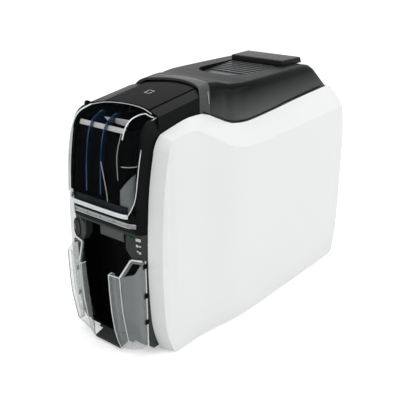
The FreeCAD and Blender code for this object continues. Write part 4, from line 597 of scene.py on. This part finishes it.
surfaceLines = {
    "strip_ends": {"radius": 1.3, "finish": "paleStripAndHighlight", "lines": [
        [(37.6, -175.0, 148.9), (40.6, -173.4, 148.9), (44.6, -170.6, 148.6)],
        [(-37.0, -175.6, 148.9), (-36.0, -175.7, 148.9)]]},
    # the strip frame's pale lines are painted highlights on its edges
    "strip_frame": {"radius": 0.28, "order": 2, "lines": [
        [(-37.4, -175.5, 150.9), (37.4, -175.5, 150.9), (44.6, -171.0, 150.4)],
        [(-37.4, -175.5, 146.9), (37.4, -175.5, 146.9), (44.6, -171.0, 146.6)]]},
    "lid_seam": {"radius": 0.5, "finish": "shadeLine", "slot": "charcoal_plastic", "lines": [
        [(60.6, -88.4, 247.0), (60.6, -74.2, 241.1), (60.6, -59.3, 234.9),
         (60.6, -44.0, 228.5), (60.6, -28.1, 225.2), (60.6, -11.7, 223.9),
         (60.6, 5.2, 224.8), (60.6, 22.6, 225.8), (60.6, 40.6, 226.8), (60.6, 59.2, 229.0),
         (60.6, 78.5, 230.1), (60.6, 98.4, 231.3), (60.6, 119.1, 232.4),
         (60.6, 140.5, 233.7)]]},
    # a painted highlight along the collar's rear edge
    "collar_edge": {"radius": 0.3, "finish": "paleIconAndHighlight", "slot": "collar_plastic",
                    "body": "top_lid", "lines": [
        [(45.1, -61.2, 260.3), (46.9, -62.0, 254.2), (48.1, -63.0, 248.3)]]},
    "button_rim": {"radius": 0.35, "closed": True, "finish": "shadeLine",
                   "slot": "charcoal_plastic", "lines": [ovalLine(buttonOval)]},
    "roof_mark": {"radius": 0.3, "order": 2, "closed": True, "finish": "paleIconAndHighlight",
                  "slot": "charcoal_plastic", "lines": [
        [(-9.0, -97.5, 258.25), (-2.0, -97.5, 258.25), (-2.0, -89.5, 259.3),
         (-9.0, -89.5, 259.3)]]},
    # a painted highlight along the roof's chamfer edge
    "roof_edge": {"radius": 0.22, "order": 2, "finish": "paleStripAndHighlight",
                  "slot": "charcoal_plastic", "lines": [
        [(31.0, -119.4, 246.2), (31.0, -64.1, 253.2)]]},
}
for name, look in surfaceLines.items():
    addBeads(name, look)
print("front marked")


# studio

studio = {
    "floorSize": 6.0, "floorLevel": -0.0002, "floorColour": (0.9, 0.9, 0.9, 1),
    "floorRough": 0.6, "floorSpecular": 0.2,
    "floorLift": 0.41,  # brings the floor that is seen up to white
    "worldStrength": 0.58,
}
lamps = {
    "topSoftbox": {"place": (0.1, -0.1, 1.5), "aim": (0, 0, 0.15), "size": 1.2, "power": 9},
    "frontSoftbox": {"place": (-0.7, -1.5, 0.9), "aim": (0, 0, 0.12), "size": 0.9, "power": 5},
    "sideSoftbox": {"place": (1.7, 0.5, 0.7), "aim": (0, 0, 0.12), "size": 0.9, "power": 11},
}


def larger(tree, first, second):
    node = addNode(tree, "ShaderNodeMath", links={0: first, 1: second})
    node.operation = "MAXIMUM"
    return node.outputs[0]


def makeFloor(look):
    bm = bmesh.new()
    bmesh.ops.create_grid(bm, x_segments=1, y_segments=1, size=look["floorSize"])
    mesh = bpy.data.meshes.new("floor")
    bm.to_mesh(mesh)
    bm.free()
    floor = bpy.data.objects.new("floor", mesh)
    bpy.context.scene.collection.objects.link(floor)
    floor.location.z = look["floorLevel"]
    material = bpy.data.materials.new("paleFloor")
    material.use_nodes = True
    tree = material.node_tree
    shader = tree.nodes["Principled BSDF"]
    shader.inputs["Base Color"].default_value = look["floorColour"]
    shader.inputs["Roughness"].default_value = look["floorRough"]
    shader.inputs["Specular IOR Level"].default_value = look["floorSpecular"]
    shader.inputs["Emission Color"].default_value = (1, 1, 1, 1)
    rays = addNode(tree, "ShaderNodeLightPath").outputs
    seen = larger(tree, rays["Is Camera Ray"], rays["Is Transmission Ray"])
    lift = mapRange(tree, seen, (0, 1), (0, look["floorLift"]))
    tree.links.new(lift, shader.inputs["Emission Strength"])
    mesh.materials.append(material)


def makeWorld(look):
    # white where it is seen or mirrored, and weaker as a light
    world = bpy.data.worlds.new("studioWorld")
    bpy.context.scene.world = world
    world.use_nodes = True
    tree = world.node_tree
    background = tree.nodes["Background"]
    background.inputs["Color"].default_value = (1, 1, 1, 1)
    rays = addNode(tree, "ShaderNodeLightPath").outputs
    mirrored = larger(tree, rays["Is Transmission Ray"], rays["Is Glossy Ray"])
    seen = larger(tree, rays["Is Camera Ray"], mirrored)
    strength = mapRange(tree, seen, (0, 1), (look["worldStrength"], 1))
    tree.links.new(strength, background.inputs["Strength"])


def makeLamp(name, look):
    light = bpy.data.lights.new(name, "AREA")
    light.shape = "RECTANGLE"
    light.size = light.size_y = look["size"]
    light.energy = look["power"]
    lamp = bpy.data.objects.new(name, light)
    bpy.context.scene.collection.objects.link(lamp)
    lamp.location = look["place"]
    beam = Vector(look["aim"]) - Vector(look["place"])
    lamp.rotation_euler = beam.to_track_quat("-Z", "Y").to_euler()


makeFloor(studio)
makeWorld(studio)
for name, look in lamps.items():
    makeLamp(name, look)

camera = {"place": (0.46584, -0.59108, 0.41306), "look": (-0.57806, 0.72264, -0.37898),
          "lens": 59.29, "sensor": 36, "clipStart": 0.01}
cameraData = bpy.data.cameras.new("camera")
cameraData.lens = camera["lens"]
cameraData.sensor_width = camera["sensor"]
cameraData.sensor_fit = "HORIZONTAL"
cameraData.clip_start = camera["clipStart"]
cameraObject = bpy.data.objects.new("camera", cameraData)
bpy.context.scene.collection.objects.link(cameraObject)
cameraObject.location = camera["place"]
cameraObject.rotation_euler = Vector(camera["look"]).to_track_quat("-Z", "Y").to_euler()
bpy.context.scene.camera = cameraObject
bpy.context.scene.view_settings.view_transform = "Standard"
print("studio ready")
